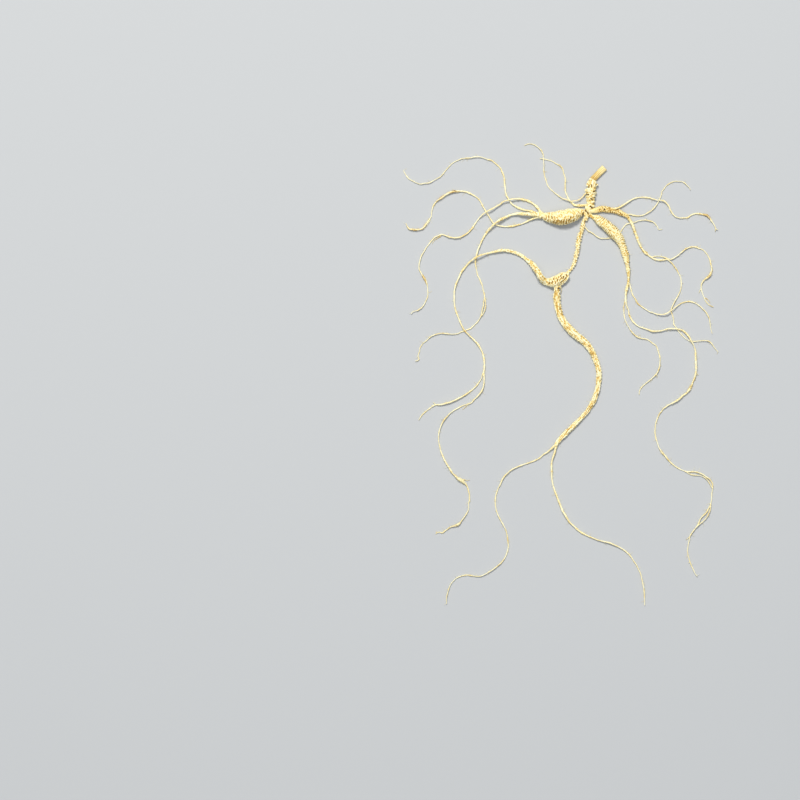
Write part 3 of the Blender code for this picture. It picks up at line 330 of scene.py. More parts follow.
# %% The fine rootlets of the neck and the crown
RHIZOME_ROOTLET = [
    (589.5, 191, 2), (586, 193, 1.4), (584.5, 194.5, 1.2), (582, 197.5), (579.5, 199.5), (577, 200.5),
    (574, 200.9), (571.5, 201.3), (568, 200), (563, 198.5), (560.4, 197), (556.6, 194), (550.8, 189.2),
    (548.4, 186.5), (546.3, 181), (544.8, 176), (544, 172), (543.9, 165), (543.3, 158), (543, 154),
    (542, 151.5), (540, 149), (537.5, 146.5), (535.5, 145), (532.5, 144), (530, 143.7), (527.5, 144),
    (524.4, 145.3, 1),
]
CROWN_ROOTLET = [
    (590, 205, 3.4), (587, 204.9, 3), (583, 205.3, 3), (578, 205.5, 3), (574.5, 204.8, 2.6),
    (572, 202.8, 2.2), (569.5, 200.3, 2), (567.5, 196.5, 1.8), (565.8, 192.5, 1.7), (565.2, 187, 1.6),
    (565.4, 182, 1.6), (565.3, 178, 1.6), (564, 174, 1.4), (563.2, 170.5), (562.5, 168.5, 1.3),
    (560, 165.5), (557, 164), (553.5, 161.7, 1.1), (549.5, 160.2), (546, 159.3), (543, 158.7),
    (540, 158.4, 1),
]
CENTRAL_ROOTLET = [
    (583.3, 223, 1.8), (585, 226.5, 1.2), (586.5, 229), (589, 231.3), (592, 232.7), (595, 235),
    (598, 237), (600.5, 238.2), (604, 238.4), (608, 238.3), (612, 237.8), (616.5, 235.5), (621, 231),
    (623, 228.3), (625, 225.5), (627, 224), (629, 223.3), (632.5, 222.8), (635.5, 222), (638, 220.8),
    (642, 220.2), (646, 220), (650, 220.8), (653.5, 222), (656.2, 224.6), (657.8, 227.2), (658.3, 229),
    (662.5, 229.2, 1),
]
print("the fine ones have", len(RHIZOME_ROOTLET + CROWN_ROOTLET + CENTRAL_ROOTLET), "points")

# %% The right arm and its rootlets
RIGHT_ARM = [
    (588.5, 211.3, 4.8), (592, 210.9, 4.6), (596, 210.3, 5.6), (600, 209.2, 6.3), (604, 209, 6.4),
    (608, 209.5, 6.2), (612, 210.3, 5.7), (616, 211.2, 5.5), (620, 212.7, 5.5), (624, 214.5, 4.6),
    (627.5, 216.5, 3.6), (629.5, 219.5, 3.7), (631.5, 223, 3.6), (633.8, 228, 3.3), (635, 232, 3.3),
    (636.7, 236.5, 2.9), (638, 240.5, 3.1), (639.8, 244.5, 3), (641.7, 248, 3), (644, 251.3, 2.7),
    (647, 253.8, 2.6), (650, 256.2, 2.2), (652, 257.8, 2), (654, 258.8, 2), (657, 259.7, 2.1),
    (661, 260, 2.1), (665, 259.7, 1.6), (668, 259, 1.4), (671, 259.2, 1.2), (674, 257.8, 1.4),
    (677, 256), (680, 253.6, 1.4), (683, 251), (686, 248.8), (689, 247.5), (693, 246.7, 1.5),
    (696, 247), (699, 248.3), (702.6, 249.5), (705.6, 252), (708, 255.6, 1.3), (710, 259.8), (711, 264),
    (712, 268, 1.4), (711, 272), (710, 275, 1.7), (707.5, 277.5), (705, 279.3), (703, 281.5),
    (701.7, 284, 1.3), (701.3, 287), (701.8, 290.4), (702.9, 293.8), (704.3, 297.2), (705.5, 300.5),
    (707.5, 303), (709, 304.5), (711, 305.8), (713.5, 306.8, 1),
]
RIGHT_ARM_EYE = [
    (651.5, 257.2, 1.4), (653.5, 256.6, 1), (656, 256.2), (660, 256.2), (663.5, 256.9), (666, 257.8),
    (668.5, 259, 1.2),
]
RIGHT_TOP = [
    (610, 209.6, 3), (616, 208.4, 2.4), (619, 207.4, 2.1), (622, 205.8), (625, 204), (628, 202),
    (631, 200.2), (634, 198.6), (637, 197.6), (640, 197.3, 1.6), (644, 197.2), (648, 197.5),
    (652, 198.5), (655, 199.5), (658, 200.2, 1.3), (661, 200.3), (664, 201), (666.5, 203, 1.6),
    (669, 206), (670.3, 209.5), (672, 212.5), (674, 215), (676.5, 217), (679, 217.7, 1.2), (683, 217.9),
    (686, 217.8), (688.5, 217.2), (691, 215.2), (694, 213.9), (697, 213.4), (700, 213.6),
    (703.5, 214.3), (706.8, 215.2), (709.3, 217.2, 2), (711.5, 220.5), (713.5, 223.5, 1.2), (715, 226),
    (716, 228.5), (718, 230, 1.2),
]
RIGHT_FINE = [
    (623.5, 214.3, 1.8), (626.5, 214.5, 1.3), (630.5, 214.3), (633, 215), (637, 215.8), (640, 215.7),
    (644, 214.8), (648, 212.5), (651, 210.8), (654, 208), (656.5, 205), (658, 202.5), (659.5, 200.3),
    (660.5, 197.5), (661.5, 194.5), (662, 191.5), (664, 189), (666, 186), (669, 183.8), (672, 182),
    (674.5, 181.2), (678, 181.2), (682, 181.5), (685, 183), (687.5, 185.5), (689.5, 187.5),
    (690.5, 190, 1),
]
RIGHT_ARM_BRANCH = [
    (667.5, 259.2, 1.6), (670, 261.3, 1.2), (672.5, 263.8), (674.4, 266.3), (676.5, 269.3),
    (678, 271.8), (679.6, 274.8), (681, 278.3), (681.3, 282), (681.4, 286), (680.8, 290),
    (679.4, 293.3), (677.6, 296.8), (675.7, 299.8), (674, 302.8), (672.5, 306), (671.5, 309),
    (671.5, 312.5), (673, 316.3), (673.8, 319.8), (674, 324), (676, 327), (678.5, 331), (681, 334),
    (684, 337), (687, 339.5), (690, 341), (693.5, 341.5), (697, 341.2), (701, 340.7), (705, 340.6),
    (709, 341.3), (711.5, 343.2), (713.5, 346), (716, 349.5), (718.5, 352, 1),
]
print("the right arm has", len(RIGHT_ARM), "points and its highest rootlet", len(RIGHT_TOP))

# %% The curved root on the right, its long rootlet and its branches
BANANA = [
    (588.5, 213.5, 4), (592.5, 216.6, 4), (595.8, 217.9, 6.8), (598.8, 219.9, 9.2),
    (604.8, 224.2, 10.6), (610.8, 229.5, 11.2), (615.8, 234.7, 11), (619.5, 239.4, 9.6),
    (621.5, 243.5, 8.2), (623.3, 248, 7.4), (625, 253, 7.2), (626.3, 258.5, 6.2), (627.2, 264, 5.6),
    (628.2, 270, 4.6), (628.6, 276, 3.4), (628.6, 281, 3), (627.9, 284.5, 3), (627, 288, 3),
    (626, 292, 2.4), (625.8, 297, 2), (625.8, 301, 2.2), (626.5, 305, 1.9), (628.4, 309.3, 1.8),
    (629.4, 314.9, 1.9), (631.8, 319.8, 1.9), (634.9, 323.4, 1.9), (638.6, 326.3, 1.8), (643, 327.8),
    (648, 329.6, 1.7), (652, 331, 1.8), (656, 331.3), (660, 330.9, 1.7), (664, 330), (667, 329, 1.6),
    (671, 328.6), (675, 328.6, 1.8), (679, 329.3), (682.6, 330.3, 1.7), (686.3, 333.3, 1.8),
    (688.8, 336.4), (691, 340.2, 2), (693, 343.6, 1.8), (694.6, 347.3, 1.6), (695.6, 352, 2.2),
    (695.7, 357, 2.2), (696, 362, 2.3), (696.2, 367, 2.3), (696, 371.5, 2.3), (695.5, 375, 2.2),
    (694.5, 378.5, 1.8), (693, 382, 1.8), (691.4, 386.2, 2.2), (689.2, 389.9, 2.3), (686.4, 393.1, 2.2),
    (683, 395.5, 1.9), (680, 398.5, 1.8), (676.5, 400.8, 2), (673, 402.8, 2), (669.5, 404.5, 1.6),
    (666.5, 406.5, 1.3), (663.5, 408.7, 1.2), (661.5, 411.5), (659.5, 414), (657.8, 418),
    (656.5, 421.5), (655.5, 425.5, 1.2), (655.2, 430), (655.3, 434.5), (656.3, 439, 1.4),
    (657.5, 443, 1.2), (658.7, 446.5), (660.5, 449.8, 1.3), (662, 452.5), (664.5, 455, 1.8), (667, 458),
    (669, 460.5, 1.3), (671.5, 463), (675, 466), (678.5, 468.3), (682, 470), (686, 471.5),
    (688, 471.8, 1.3), (692, 471.7), (696, 472), (700, 473.2), (703, 474.5), (706.5, 477), (709.5, 479),
    (711.5, 481.5), (712.8, 485), (712.6, 489), (711.9, 494, 1.3), (711.8, 498), (711.3, 502),
    (710.3, 505.5), (708.5, 509), (706.5, 512.5), (703.5, 515.5), (701, 518), (699.5, 521),
    (698, 524.5), (696.5, 527, 1.3), (694.5, 529.5), (692.5, 532.3), (690.7, 534.5), (689.8, 537.5),
    (689.3, 540.5), (688.5, 544), (688, 548, 1.1), (687.8, 551.5), (688.3, 555), (689, 558),
    (690, 561.5), (691.5, 565.5), (693.5, 570), (695.5, 574), (697.5, 576.5, 1),
]
BANANA_UPPER_SIDE = [
    (686.5, 471.6, 1.3), (689, 473.7, 1), (692.8, 474.9), (697, 475.3), (701, 475.7), (704.3, 477.2),
    (707, 479.7), (709.2, 482.5), (710.8, 485.4), (712.6, 488.5, 1.1),
]
BANANA_LOWER_SIDE = [
    (710.6, 504.5, 1.2), (710.6, 507.5, 1), (710, 511), (708.5, 514.6), (705.7, 518.8), (702, 522.3),
    (698.6, 525), (696.3, 527.6, 1.1),
]
BANANA_INNER_BRANCH = [
    (628.2, 281, 1.8), (629.8, 284.5, 1.3), (630.5, 287), (631.5, 290.5), (632.5, 294), (634.5, 297.5),
    (636.3, 300.5), (638, 303.7), (641, 306), (644.5, 308.3), (648, 310.8, 1.2), (651, 312.2),
    (654, 313), (657, 314, 1.6), (661, 314.5), (664.5, 314.2), (667.5, 313), (670, 311.3, 1.2),
    (672, 310), (674.5, 308), (678, 305.3), (681, 303.5), (684, 302.2), (687, 301.6, 1.4),
    (691, 301.6), (694, 302.5), (697, 304), (700, 306), (703, 309), (706, 312), (708, 315.5),
    (709.5, 319), (710, 322.5), (710.7, 327), (711.5, 331), (712.5, 333.8, 1),
]
BANANA_OUTER_BRANCH = [
    (625.9, 296, 1.9), (624.6, 303, 1.5), (624, 307), (624, 311, 1.3), (624.3, 315), (625, 319),
    (626.5, 322.5), (628.5, 326.5, 1.2), (630.5, 330), (633.5, 333.7), (636.5, 336.3),
    (639.5, 337.8, 1.4), (643, 338.5), (647, 339.3), (649.5, 340.7), (652.5, 343), (656, 345.5),
    (657.5, 348.5), (658.5, 352), (659.8, 356, 1.3), (660.2, 360), (660, 364), (659.2, 368),
    (658, 371.5), (656.3, 374, 1.4), (654.5, 376), (651.5, 378.8), (648.5, 381.3), (645.5, 383.7),
    (643, 386), (641, 388.3), (639.8, 390.5), (639.3, 393), (639.3, 395, 1.1),
]
print("the curved root has", len(BANANA), "points, out to its tip")

# %% The left arm
LEFT_ARM = [
    (545, 281, 6), (541, 278, 6.2), (539, 274.5, 6), (537, 271, 5.8), (534.5, 267.5, 5.9),
    (532, 264, 5.5), (529.2, 261.6, 5), (526.8, 259.9, 4.2), (525, 258.2, 3.6), (522, 256, 3.6),
    (519, 254.3, 3.6), (515, 252.5, 3.4), (511, 251.3, 3.3), (507, 250.5, 3.1), (503, 250.3, 3),
    (499, 250.8, 2.9), (495, 251.6, 2.5), (490, 252.8, 2), (486, 253.7, 2.1), (482, 254.8, 2),
    (478, 256.5, 2), (475.5, 257.8, 2.4), (472.5, 259.8, 2.2), (469.5, 262), (466.5, 265.5, 2.3),
    (464, 268.5), (461.5, 272, 2.2), (459.5, 276), (457.7, 280, 2.1), (456, 284), (454.9, 288, 1.9),
    (454.3, 292, 2), (454.2, 297, 2), (454.3, 302, 1.9), (455, 307), (456, 311, 1.7), (457.5, 315.5),
    (459.3, 320, 1.7), (461, 324), (462.7, 327.3), (464.5, 330.5, 1.5), (467.5, 333.7), (471, 337, 1.6),
    (474.5, 340.5), (478, 344.3, 2), (480.5, 348.3), (482.6, 352.8, 1.9), (483.9, 358), (484.4, 363, 2),
    (484.3, 368), (483.8, 373, 2.1), (484.2, 378, 1.8), (484, 383), (483.2, 387.3, 1.7), (481.9, 390.7),
    (479.4, 394.1, 1.6), (476.4, 397.3), (473.6, 400.3, 1.4), (471.5, 402.7), (469, 403.6, 1.5),
    (465.5, 404.7, 1.2), (461.5, 406.3), (457.5, 408.3), (454, 410.3, 1.3), (451, 412.3),
    (448.5, 414.7), (446.5, 417, 1.6), (444, 420), (442.3, 423), (440.7, 426.5, 1.5), (439.5, 430),
    (438.7, 434.5, 1.5), (438.6, 439, 1.4), (439, 443), (440, 447), (440.8, 451, 1.5), (442.5, 455, 2),
    (444.3, 459.5, 1.9), (446.5, 463.5, 2), (448.8, 467.3, 1.7), (451, 470.8, 2.1), (453.4, 474.2, 1.6),
    (456, 476.8, 2.4), (459, 479.2, 2.8), (462.2, 481, 2.6), (464.7, 483.2, 2.2), (467, 486, 1.5),
    (468.3, 490, 1.4), (469.3, 494), (469.6, 498), (469.5, 500.5, 1.3), (468.7, 503, 1), (468.6, 507.5),
    (468, 511, 1), (466.5, 513.7, 1.2), (464.7, 516.5), (462.5, 519.3, 1.1), (460.5, 522.2),
    (457.8, 524.6, 1.8), (454.2, 526, 1.4), (450.5, 527, 1.2), (447.5, 529.2), (444.5, 531.3, 1.2),
    (442.3, 533), (439.5, 532.3), (437, 533), (435.5, 534.2, 1),
]
LEFT_ARM_BRANCH = [
    (484, 371, 1.6), (482.4, 374.5, 1.1), (481.8, 377.5), (480.5, 380.3), (478.5, 383, 1.4), (476.5, 385.7),
    (474, 388.2), (471, 390.7), (468, 393, 1.6), (465, 395), (461.5, 397), (458, 398.7, 1.7),
    (455, 400.2, 1.8), (452, 401.5), (449, 402.5), (446, 403.3, 1.8), (442, 404.3), (439, 404.7),
    (436, 404.7, 1.5), (434, 405.5), (431.5, 407), (429, 409, 1.2), (426.5, 411), (424, 413),
    (421.5, 415.7, 1.1), (420, 418), (418.5, 420.3, 1.1),
]
print("the left arm has", len(LEFT_ARM), "points, out to its tip")

# %% [markdown]
# ## How the roots lie
#
# A plump root lies pressed flat on the table, and a thin one rises and dips a little over it, as a dried
# rootlet does. Where one crosses another it climbs over in a long low hump. A physics run could drop them all
# into place, but they would not stop where the top view shows them. So the heights are worked out instead, in
# the same order and with the same rules as in the solid root, and the new skin lies right over it.

# %% Heights over the table
SURFACE_GAP = 0.25 * MM
FLAT_SINK = 0.45 * MM
THIN_RADIUS = 1.3 * MM
PLUMP_RADIUS = 2.1 * MM
ROOTLET_RISE = 1.1 * MM
ROOTLET_WAVE = 47 * MM
CROSSING_GAP = 0.4 * MM
HUMP_REACH = 13 * MM
JOIN_REACH = 7.5 * MM
LEAST_RADIUS = 0.42 * MM
DENSE_STEP = 0.4 * MM
WAVE_SHIFT = 1.7  # radians, so that no two roots rise and dip alike


def length_along(places):
    """How far each place lies along the line through them."""
    steps = np.linalg.norm(np.diff(places[:, :2], axis=0), axis=1)
    return np.concatenate([[0], np.cumsum(steps)])


def nearest_row(rows, place):
    """Which of the rows lies nearest to a place, seen from above."""
    return np.linalg.norm(rows[:, :2] - place, axis=1).argmin()


def read_route(route):
    """The route as rows of x, y and radius in metres, with the missing widths filled in."""
    places = np.array([on_surface(*point[:2]) for point in route])
    along = length_along(places)
    known = [index for index, point in enumerate(route) if len(point) == 3]
    radii = [route[index][2] * PIXEL / 2 for index in known]
    radius = np.interp(along, along[known], radii)
    return np.column_stack([places, np.maximum(radius, LEAST_RADIUS)])


def smooth_through(points):
    """Closely spaced rows on a smooth curve through the given ones."""
    gaps = np.linalg.norm(np.diff(points[:, :2], axis=0), axis=1)[:, None]
    slopes = np.diff(points, axis=0) / gaps
    inner = (slopes[:-1] * gaps[1:] + slopes[1:] * gaps[:-1]) / (gaps[:-1] + gaps[1:])
    slopes = np.vstack([slopes[:1], inner, slopes[-1:]])
    rows = []
    for index, gap in enumerate(gaps[:, 0]):
        count = max(1, round(gap / DENSE_STEP))
        t = (np.arange(count) / count)[:, None]
        rows.append(
            (2 * t**3 - 3 * t**2 + 1) * points[index]
            + (t**3 - 2 * t**2 + t) * gap * slopes[index]
            + (3 * t**2 - 2 * t**3) * points[index + 1]
            + (t**3 - t**2) * gap * slopes[index + 1]
        )
    rows.append(points[-1:])
    return np.vstack(rows)


def resting_height(radius, along, phase):
    """Height of the axis: plump roots lie pressed flat, thin ones rise and dip just clear of the table."""
    plump = np.interp(radius, [THIN_RADIUS, PLUMP_RADIUS], [0, 1])
    under = SURFACE_GAP - plump * (SURFACE_GAP + FLAT_SINK)
    rise = ROOTLET_RISE * (0.5 - 0.5 * np.cos(2 * math.pi * along / ROOTLET_WAVE + phase))
    return radius + under + (1 - plump) * rise


def raised(height, along, index, least):
    """The height with a long low hump that reaches `least` at one of its points."""
    reach = np.clip(np.abs(along - along[index]) / HUMP_REACH, 0, 1)
    hump = 0.5 + 0.5 * np.cos(math.pi * reach)
    return height + max(0, least - height[index]) * hump


def lay(route, laid, parent=None, passes_through=(), joins_end=False):
    """Rows of x, y, z and radius of one root, which climbs over the roots that lie there already."""
    rows = smooth_through(read_route(route))
    radius = rows[:, 2]
    along = length_along(rows)
    height = resting_height(radius, along, phase=len(laid) * WAVE_SHIFT)
    free = along > JOIN_REACH
    if joins_end:
        free &= along < along[-1] - JOIN_REACH
    for name, other in laid.items():
        if name in passes_through:
            continue
        gaps = np.linalg.norm(rows[:, None, :2] - other[None, :, :2], axis=2)
        nearest = gaps.argmin(axis=1)
        near = gaps.min(axis=1) < radius + other[nearest, 3] + CROSSING_GAP
        for index in np.flatnonzero(near & free):
            under = other[nearest[index]]
            height = raised(height, along, index, under[2] + under[3] + radius[index] + CROSSING_GAP)
    if parent is not None:
        ends = [0, len(along) - 1] if joins_end else [0]
        for end in ends:
            start = nearest_row(laid[parent], rows[end, :2])
            height = raised(height, along, end, laid[parent][start, 2])
    return np.column_stack([rows[:, :2], height, radius])


print("up to", round(2 * THIN_RADIUS / MM, 1), "mm thick a root lies clear of the table")
print("from", round(2 * PLUMP_RADIUS / MM, 1), "mm thick it is pressed flat")

# %% Lay them one after the other, each over those that lie there already
beside_crown = ("rhizome", "central_root", "central_rootlet", "right_arm")
ORDER = [
    ("rhizome", RHIZOME, None, (), False),
    ("spindle", SPINDLE, "rhizome", ("rhizome",), False),
    ("left_fourth", LEFT_FOURTH, "spindle", (), False),
    ("left_second", LEFT_SECOND, "spindle", (), False),
    ("left_third", LEFT_THIRD, "spindle", (), False),
    ("left_third_side", LEFT_THIRD_SIDE, "left_third", ("left_third",), True),
    ("left_first", LEFT_FIRST, "spindle", (), False),
    ("central_root", CENTRAL_ROOT, "rhizome", ("rhizome", "spindle"), False),
    ("central_rootlet", CENTRAL_ROOTLET, "central_root", (), False),
    ("right_arm", RIGHT_ARM, "rhizome", ("rhizome", "central_root"), False),
    ("right_arm_eye", RIGHT_ARM_EYE, "right_arm", ("right_arm",), True),
    ("right_fine", RIGHT_FINE, "right_arm", (), False),
    ("right_top", RIGHT_TOP, "right_arm", (), False),
    ("right_arm_branch", RIGHT_ARM_BRANCH, "right_arm", (), False),
    ("banana", BANANA, "rhizome", beside_crown, False),
    ("banana_upper_side", BANANA_UPPER_SIDE, "banana", ("banana",), True),
    ("banana_lower_side", BANANA_LOWER_SIDE, "banana", ("banana",), True),
    ("banana_inner_branch", BANANA_INNER_BRANCH, "banana", (), False),
    ("banana_outer_branch", BANANA_OUTER_BRANCH, "banana", (), False),
    ("lump", LUMP, "central_root", ("central_root",), False),
    ("left_arm", LEFT_ARM, "lump", (), False),
    ("left_arm_branch", LEFT_ARM_BRANCH, "left_arm", (), False),
    ("tail", TAIL, "lump", ("lump",), False),
    ("tail_right_fork", TAIL_RIGHT_FORK, "tail", (), False),
    ("tail_left_fork", TAIL_LEFT_FORK, "tail", (), False),
    ("crown_rootlet", CROWN_ROOTLET, "rhizome", (), False),
    ("rhizome_rootlet", RHIZOME_ROOTLET, "rhizome", (), False),
]
laid = {}
for name, route, parent, passes_through, joins_end in ORDER:
    laid[name] = lay(route, laid, parent, passes_through, joins_end)
total = sum(length_along(rows)[-1] for rows in laid.values())
print(len(laid), "roots,", round(total, 2), "m of them in all")

# %% [markdown]
# ## From a route to a closed tube
#
# A pipe could be extruded ring by ring along its route, with every ring turned by hand. A curve with a round
# bevel does the same turning by itself, and each of its points has a radius, so the pipe can swell and thin
# like a root. It is then converted to a mesh, because only a mesh can be melted together, dented and
# roughened.

# %% Tubes from rows of x, y, z and radius
WELD = 0.01 * MM


def select_only(*objects):
    """Deselects everything first, because an operator acts on all that is selected."""
    bpy.ops.object.select_all(action="DESELECT")
    for each in objects:
        each.select_set(True)
    bpy.context.view_layer.objects.active = objects[0]


def named(piece, name):
    """The piece, with one name for it and its mesh."""
    piece.name = name
    piece.data.name = name
    return piece


def joined(name, parts):
    """Several pieces as one."""
    select_only(*parts)
    bpy.ops.object.join()
    return named(bpy.context.object, name)


def tubes(name, several_rows, sides):
    """One mesh of closed round tubes, each through its own rows. The number of sides is even."""
    curve = bpy.data.curves.new(name, "CURVE")
    curve.dimensions = "3D"
    curve.bevel_depth = 1
    curve.bevel_resolution = (sides - 4) // 2
    curve.use_fill_caps = True
    for rows in several_rows:
        spline = curve.splines.new("POLY")
        spline.points.add(len(rows) - 1)
        spline.points.foreach_set("co", np.column_stack([rows[:, :3], np.ones(len(rows))]).ravel())
        spline.points.foreach_set("radius", rows[:, 3])
    made = bpy.data.objects.new(name, curve)
    bpy.context.scene.collection.objects.link(made)
    select_only(made)
    bpy.ops.object.convert(target="MESH")
    bpy.ops.object.mode_set(mode="EDIT")
    bpy.ops.mesh.select_all(action="SELECT")
    bpy.ops.mesh.remove_doubles(threshold=WELD)
    bpy.ops.mesh.normals_make_consistent(inside=False)
    bpy.ops.object.mode_set(mode="OBJECT")
    return bpy.context.object


def resampled(rows, step):
    """The rows at an even step."""
    along = length_along(rows)
    places = np.linspace(0, along[-1], max(3, round(along[-1] / step)))
    return np.column_stack([np.interp(places, along, column) for column in rows.T])


def apply_modifier(piece, kind, **settings):
    """Adds a modifier, sets it and applies it, as its Apply button does."""
    select_only(piece)
    modifier = piece.modifiers.new(kind.title(), kind)
    for setting, value in settings.items():
        setattr(modifier, setting, value)
    bpy.ops.object.modifier_apply(modifier=modifier.name)


print("points of a tube closer together than", WELD / MM, "mm become one")

# %% [markdown]
# ## The relief of dried skin
#
# Fresh ginseng is smooth. As it dries it shrinks, and its skin gathers in rings across the root, in folds
# along it, and in rounded lumps with creases between them, which make its flanks uneven. With a sculpting
# brush one would draw these stroke by stroke. A script has no brush, and a displacement texture doesn't know
# which way a root runs. So each point of the skin is first told where it sits: how far along its root, and on
# which side of it. Rings, folds, lumps and flanks are then formulas of those numbers, broken up by smooth
# noise so that no ring goes all the way round. The lumps are cells round scattered points, as foam has, and a
# crease is where two cells meet.

# %% Where a point sits on its root
CHUNK = 4000  # points at a time, to keep the distance table small


def noise_rows(*columns):
    """Smooth noise, about -0.5 to 0.5, at each row of three coordinates."""
    return np.array([noise.noise(place) for place in zip(*columns)])


def headings(places):
    """The direction in which a line runs on, at each of its places."""
    ahead = np.gradient(places, axis=0)
    return ahead / np.maximum(np.linalg.norm(ahead, axis=1), WELD)[:, None]


def seat(points, rows):
    """For each point: how far along the root it is, its direction and distance from the axis, and the
    radius."""
    along = length_along(rows)
    ahead = headings(rows[:, :3])
    side = np.cross(ahead, (0, 0, 1))
    side /= np.linalg.norm(side, axis=1)[:, None]
    lift = np.cross(side, ahead)
    nearest = []
    for chunk in np.array_split(points, 1 + len(points) // CHUNK):
        nearest.append(np.linalg.norm(chunk[:, None] - rows[None, :, :3], axis=2).argmin(axis=1))
    nearest = np.concatenate(nearest)
    away = points - rows[nearest, :3]
    onward = (away * ahead[nearest]).sum(axis=1)
    away -= onward[:, None] * ahead[nearest]
    reach = np.maximum(np.linalg.norm(away, axis=1), WELD)
    outward = away / reach[:, None]
    across = (outward * side[nearest]).sum(axis=1)
    upward = (outward * lift[nearest]).sum(axis=1)
    return along[nearest] + onward, across, upward, outward, reach, rows[nearest, 3]


print("distances are worked out for", CHUNK, "points at a time")

# %% [markdown]
# ## One skin for each root
#
# The roots differ: the neck has stem scars, the left plump root has close rings, the knot looks knitted, and
# the tail has long ridges. Each could have a formula of its own. One formula with a row of settings for each
# root is shorter, and its settings can be tuned side by side against the real thing.

# %% The settings of each root's skin


class Skin:
    """The relief of one root: ring spacing, depths of rings and folds, size and depth of lumps, all in mm."""

    def __init__(
        self, ring, depth, fold, lump, lump_depth, knob=0.0,
        slant=0.0, middle=1.0, lower=0.0, folds=2.0, knit=0.0, whole=0.6, calm=0.0, tone=0.2,
    ):
        self.ring = ring * MM
        self.depth = depth * MM
        self.fold = fold * MM
        self.lump = np.array(lump) * MM  # a lump's length along the root, and its width
        self.lump_depth = lump_depth * MM
        self.knob = knob * MM  # how far the flanks stick out and draw in, by turns, at each ring
        self.slant = slant  # how far a ring runs ahead on one side, in radii
        self.middle = middle  # share of the depth along the middle of the root
        self.lower = lower  # how much deeper the rings are on the side towards the tail, with more painted shade there
        self.folds = folds  # how close together the lengthwise folds are
        self.knit = knit * MM  # width of one row, where ridges lean to and fro like stitches
        self.whole = whole  # the share of each ring that is there, before the noise breaks it up
        self.calm = calm * MM  # length of the smooth stretch at the root's start
        self.tone = tone  # 0 is the palest cream and 1 a brown ochre


SKINS = {
    "rhizome": Skin(3.0, 0.36, 0.08, (3.0, 4.6), 0.42, knob=0.25, slant=-0.9, middle=0.7, tone=0.03),
    "spindle": Skin(1.9, 0.52, 0.06, (1.5, 2.3), 0.55, knob=0.2, slant=0.2, middle=0.4, lower=1.1, tone=0.07),
    "central_root": Skin(2.3, 0.75, 0.16, (2.1, 2.0), 0.72, knob=0.55, slant=1.0, tone=0.02),
    "right_arm": Skin(1.9, 0.36, 0.10, (1.6, 2.3), 0.42, knob=0.25, slant=0.3, lower=0.5, calm=10, tone=0.24),
    "banana": Skin(
        1.6, 0.62, 0.08, (1.6, 3.8), 0.40,
        knob=0.28, slant=0.15, middle=0.7, lower=-0.6, whole=0.85, calm=9, tone=0.06,
    ),
    "lump": Skin(1.9, 0.45, 0.05, (1.6, 2.3), 0.20, slant=0.25, knit=3.2, whole=1.0, tone=0.0),
    "tail": Skin(2.6, 0.30, 0.45, (10.0, 1.9), 0.62, knob=0.14, slant=0.3, folds=3.0, tone=0.0),
    "left_arm": Skin(2.5, 0.40, 0.30, (4.6, 1.8), 0.60, knob=0.22, slant=0.3, folds=2.6, tone=-0.02),
}
ROOTLET_SKIN = Skin(1.5, 0.50, 0.30, (1.5, 1.2), 0.50, knob=0.15, slant=0.5, tone=0.02)
for name, skin in SKINS.items():
    print(name, "has a ring every", round(skin.ring / MM, 1), "mm")

# %% Rings, folds, lumps and flanks as formulas
SLENDER = 2.2 * MM  # thinner roots have shallower relief
LEAST_SHARE = 0.15  # of the relief is left on the thinnest
RING_SHARPNESS = 4  # more makes a ring narrower
RING_SWAY = 0.8  # how far the noise pushes a ring, in rings
SWAY_RINGS = 3  # the length of that noise, in rings
RING_BREAK = 2.2  # how strongly the noise breaks a ring up
BREAK_RINGS = 1.6
BREAK_ROUND = 1.8  # how quickly that changes round the root
MOST_GROOVE = 1.6
KNIT_SHIFT = 0.5  # in rings, from one row of stitches to the next
KNIT_LEAN = 0.7
FOLD_LENGTH = 7 * MM
FOLD_SHARPNESS = 6
SWELLING_LENGTH = 4.5 * MM
SWELLING_SHARE = 0.10  # of the radius
SWELLING_ROUND = 1.2
FLANK = [0.3, 0.8]  # of the half width: from the first on, a flank sets in, and from the second it is whole
KNOB_SHIFT = 0.25  # in rings, forwards on one flank and backwards on the other
KNOB_SWAY = 5
SEAM = 0.24  # width of the crease between two lumps, as a share of a lump
SEAM_SHARE = 0.8  # how much of a lump's depth is its crease
DOME_SHARE = 0.35  # and how much is its round top
CALM_FADE = 3 * MM
CALM_SHARE = 0.25  # of the relief is left on a smooth stretch
DEEP = 0.8 * MM  # a dent this deep gets the darkest painted shade at its bottom
PAINTED_RIDGE_HIGHLIGHT = -0.3  # painted highlight: a ridge is painted paler than flat skin
DARK_LIMIT = 0.6


def lumps(*columns):
    """How low each row of coordinates lies among rounded lumps of size 1: below nothing on top of one."""
    reached = np.array([noise.voronoi(place)[0] for place in zip(*columns)])
    seam = np.clip(1 - (reached[:, 1] - reached[:, 0]) / SEAM, 0, 1)
    return SEAM_SHARE * seam + DOME_SHARE * reached[:, 0] - DOME_SHARE


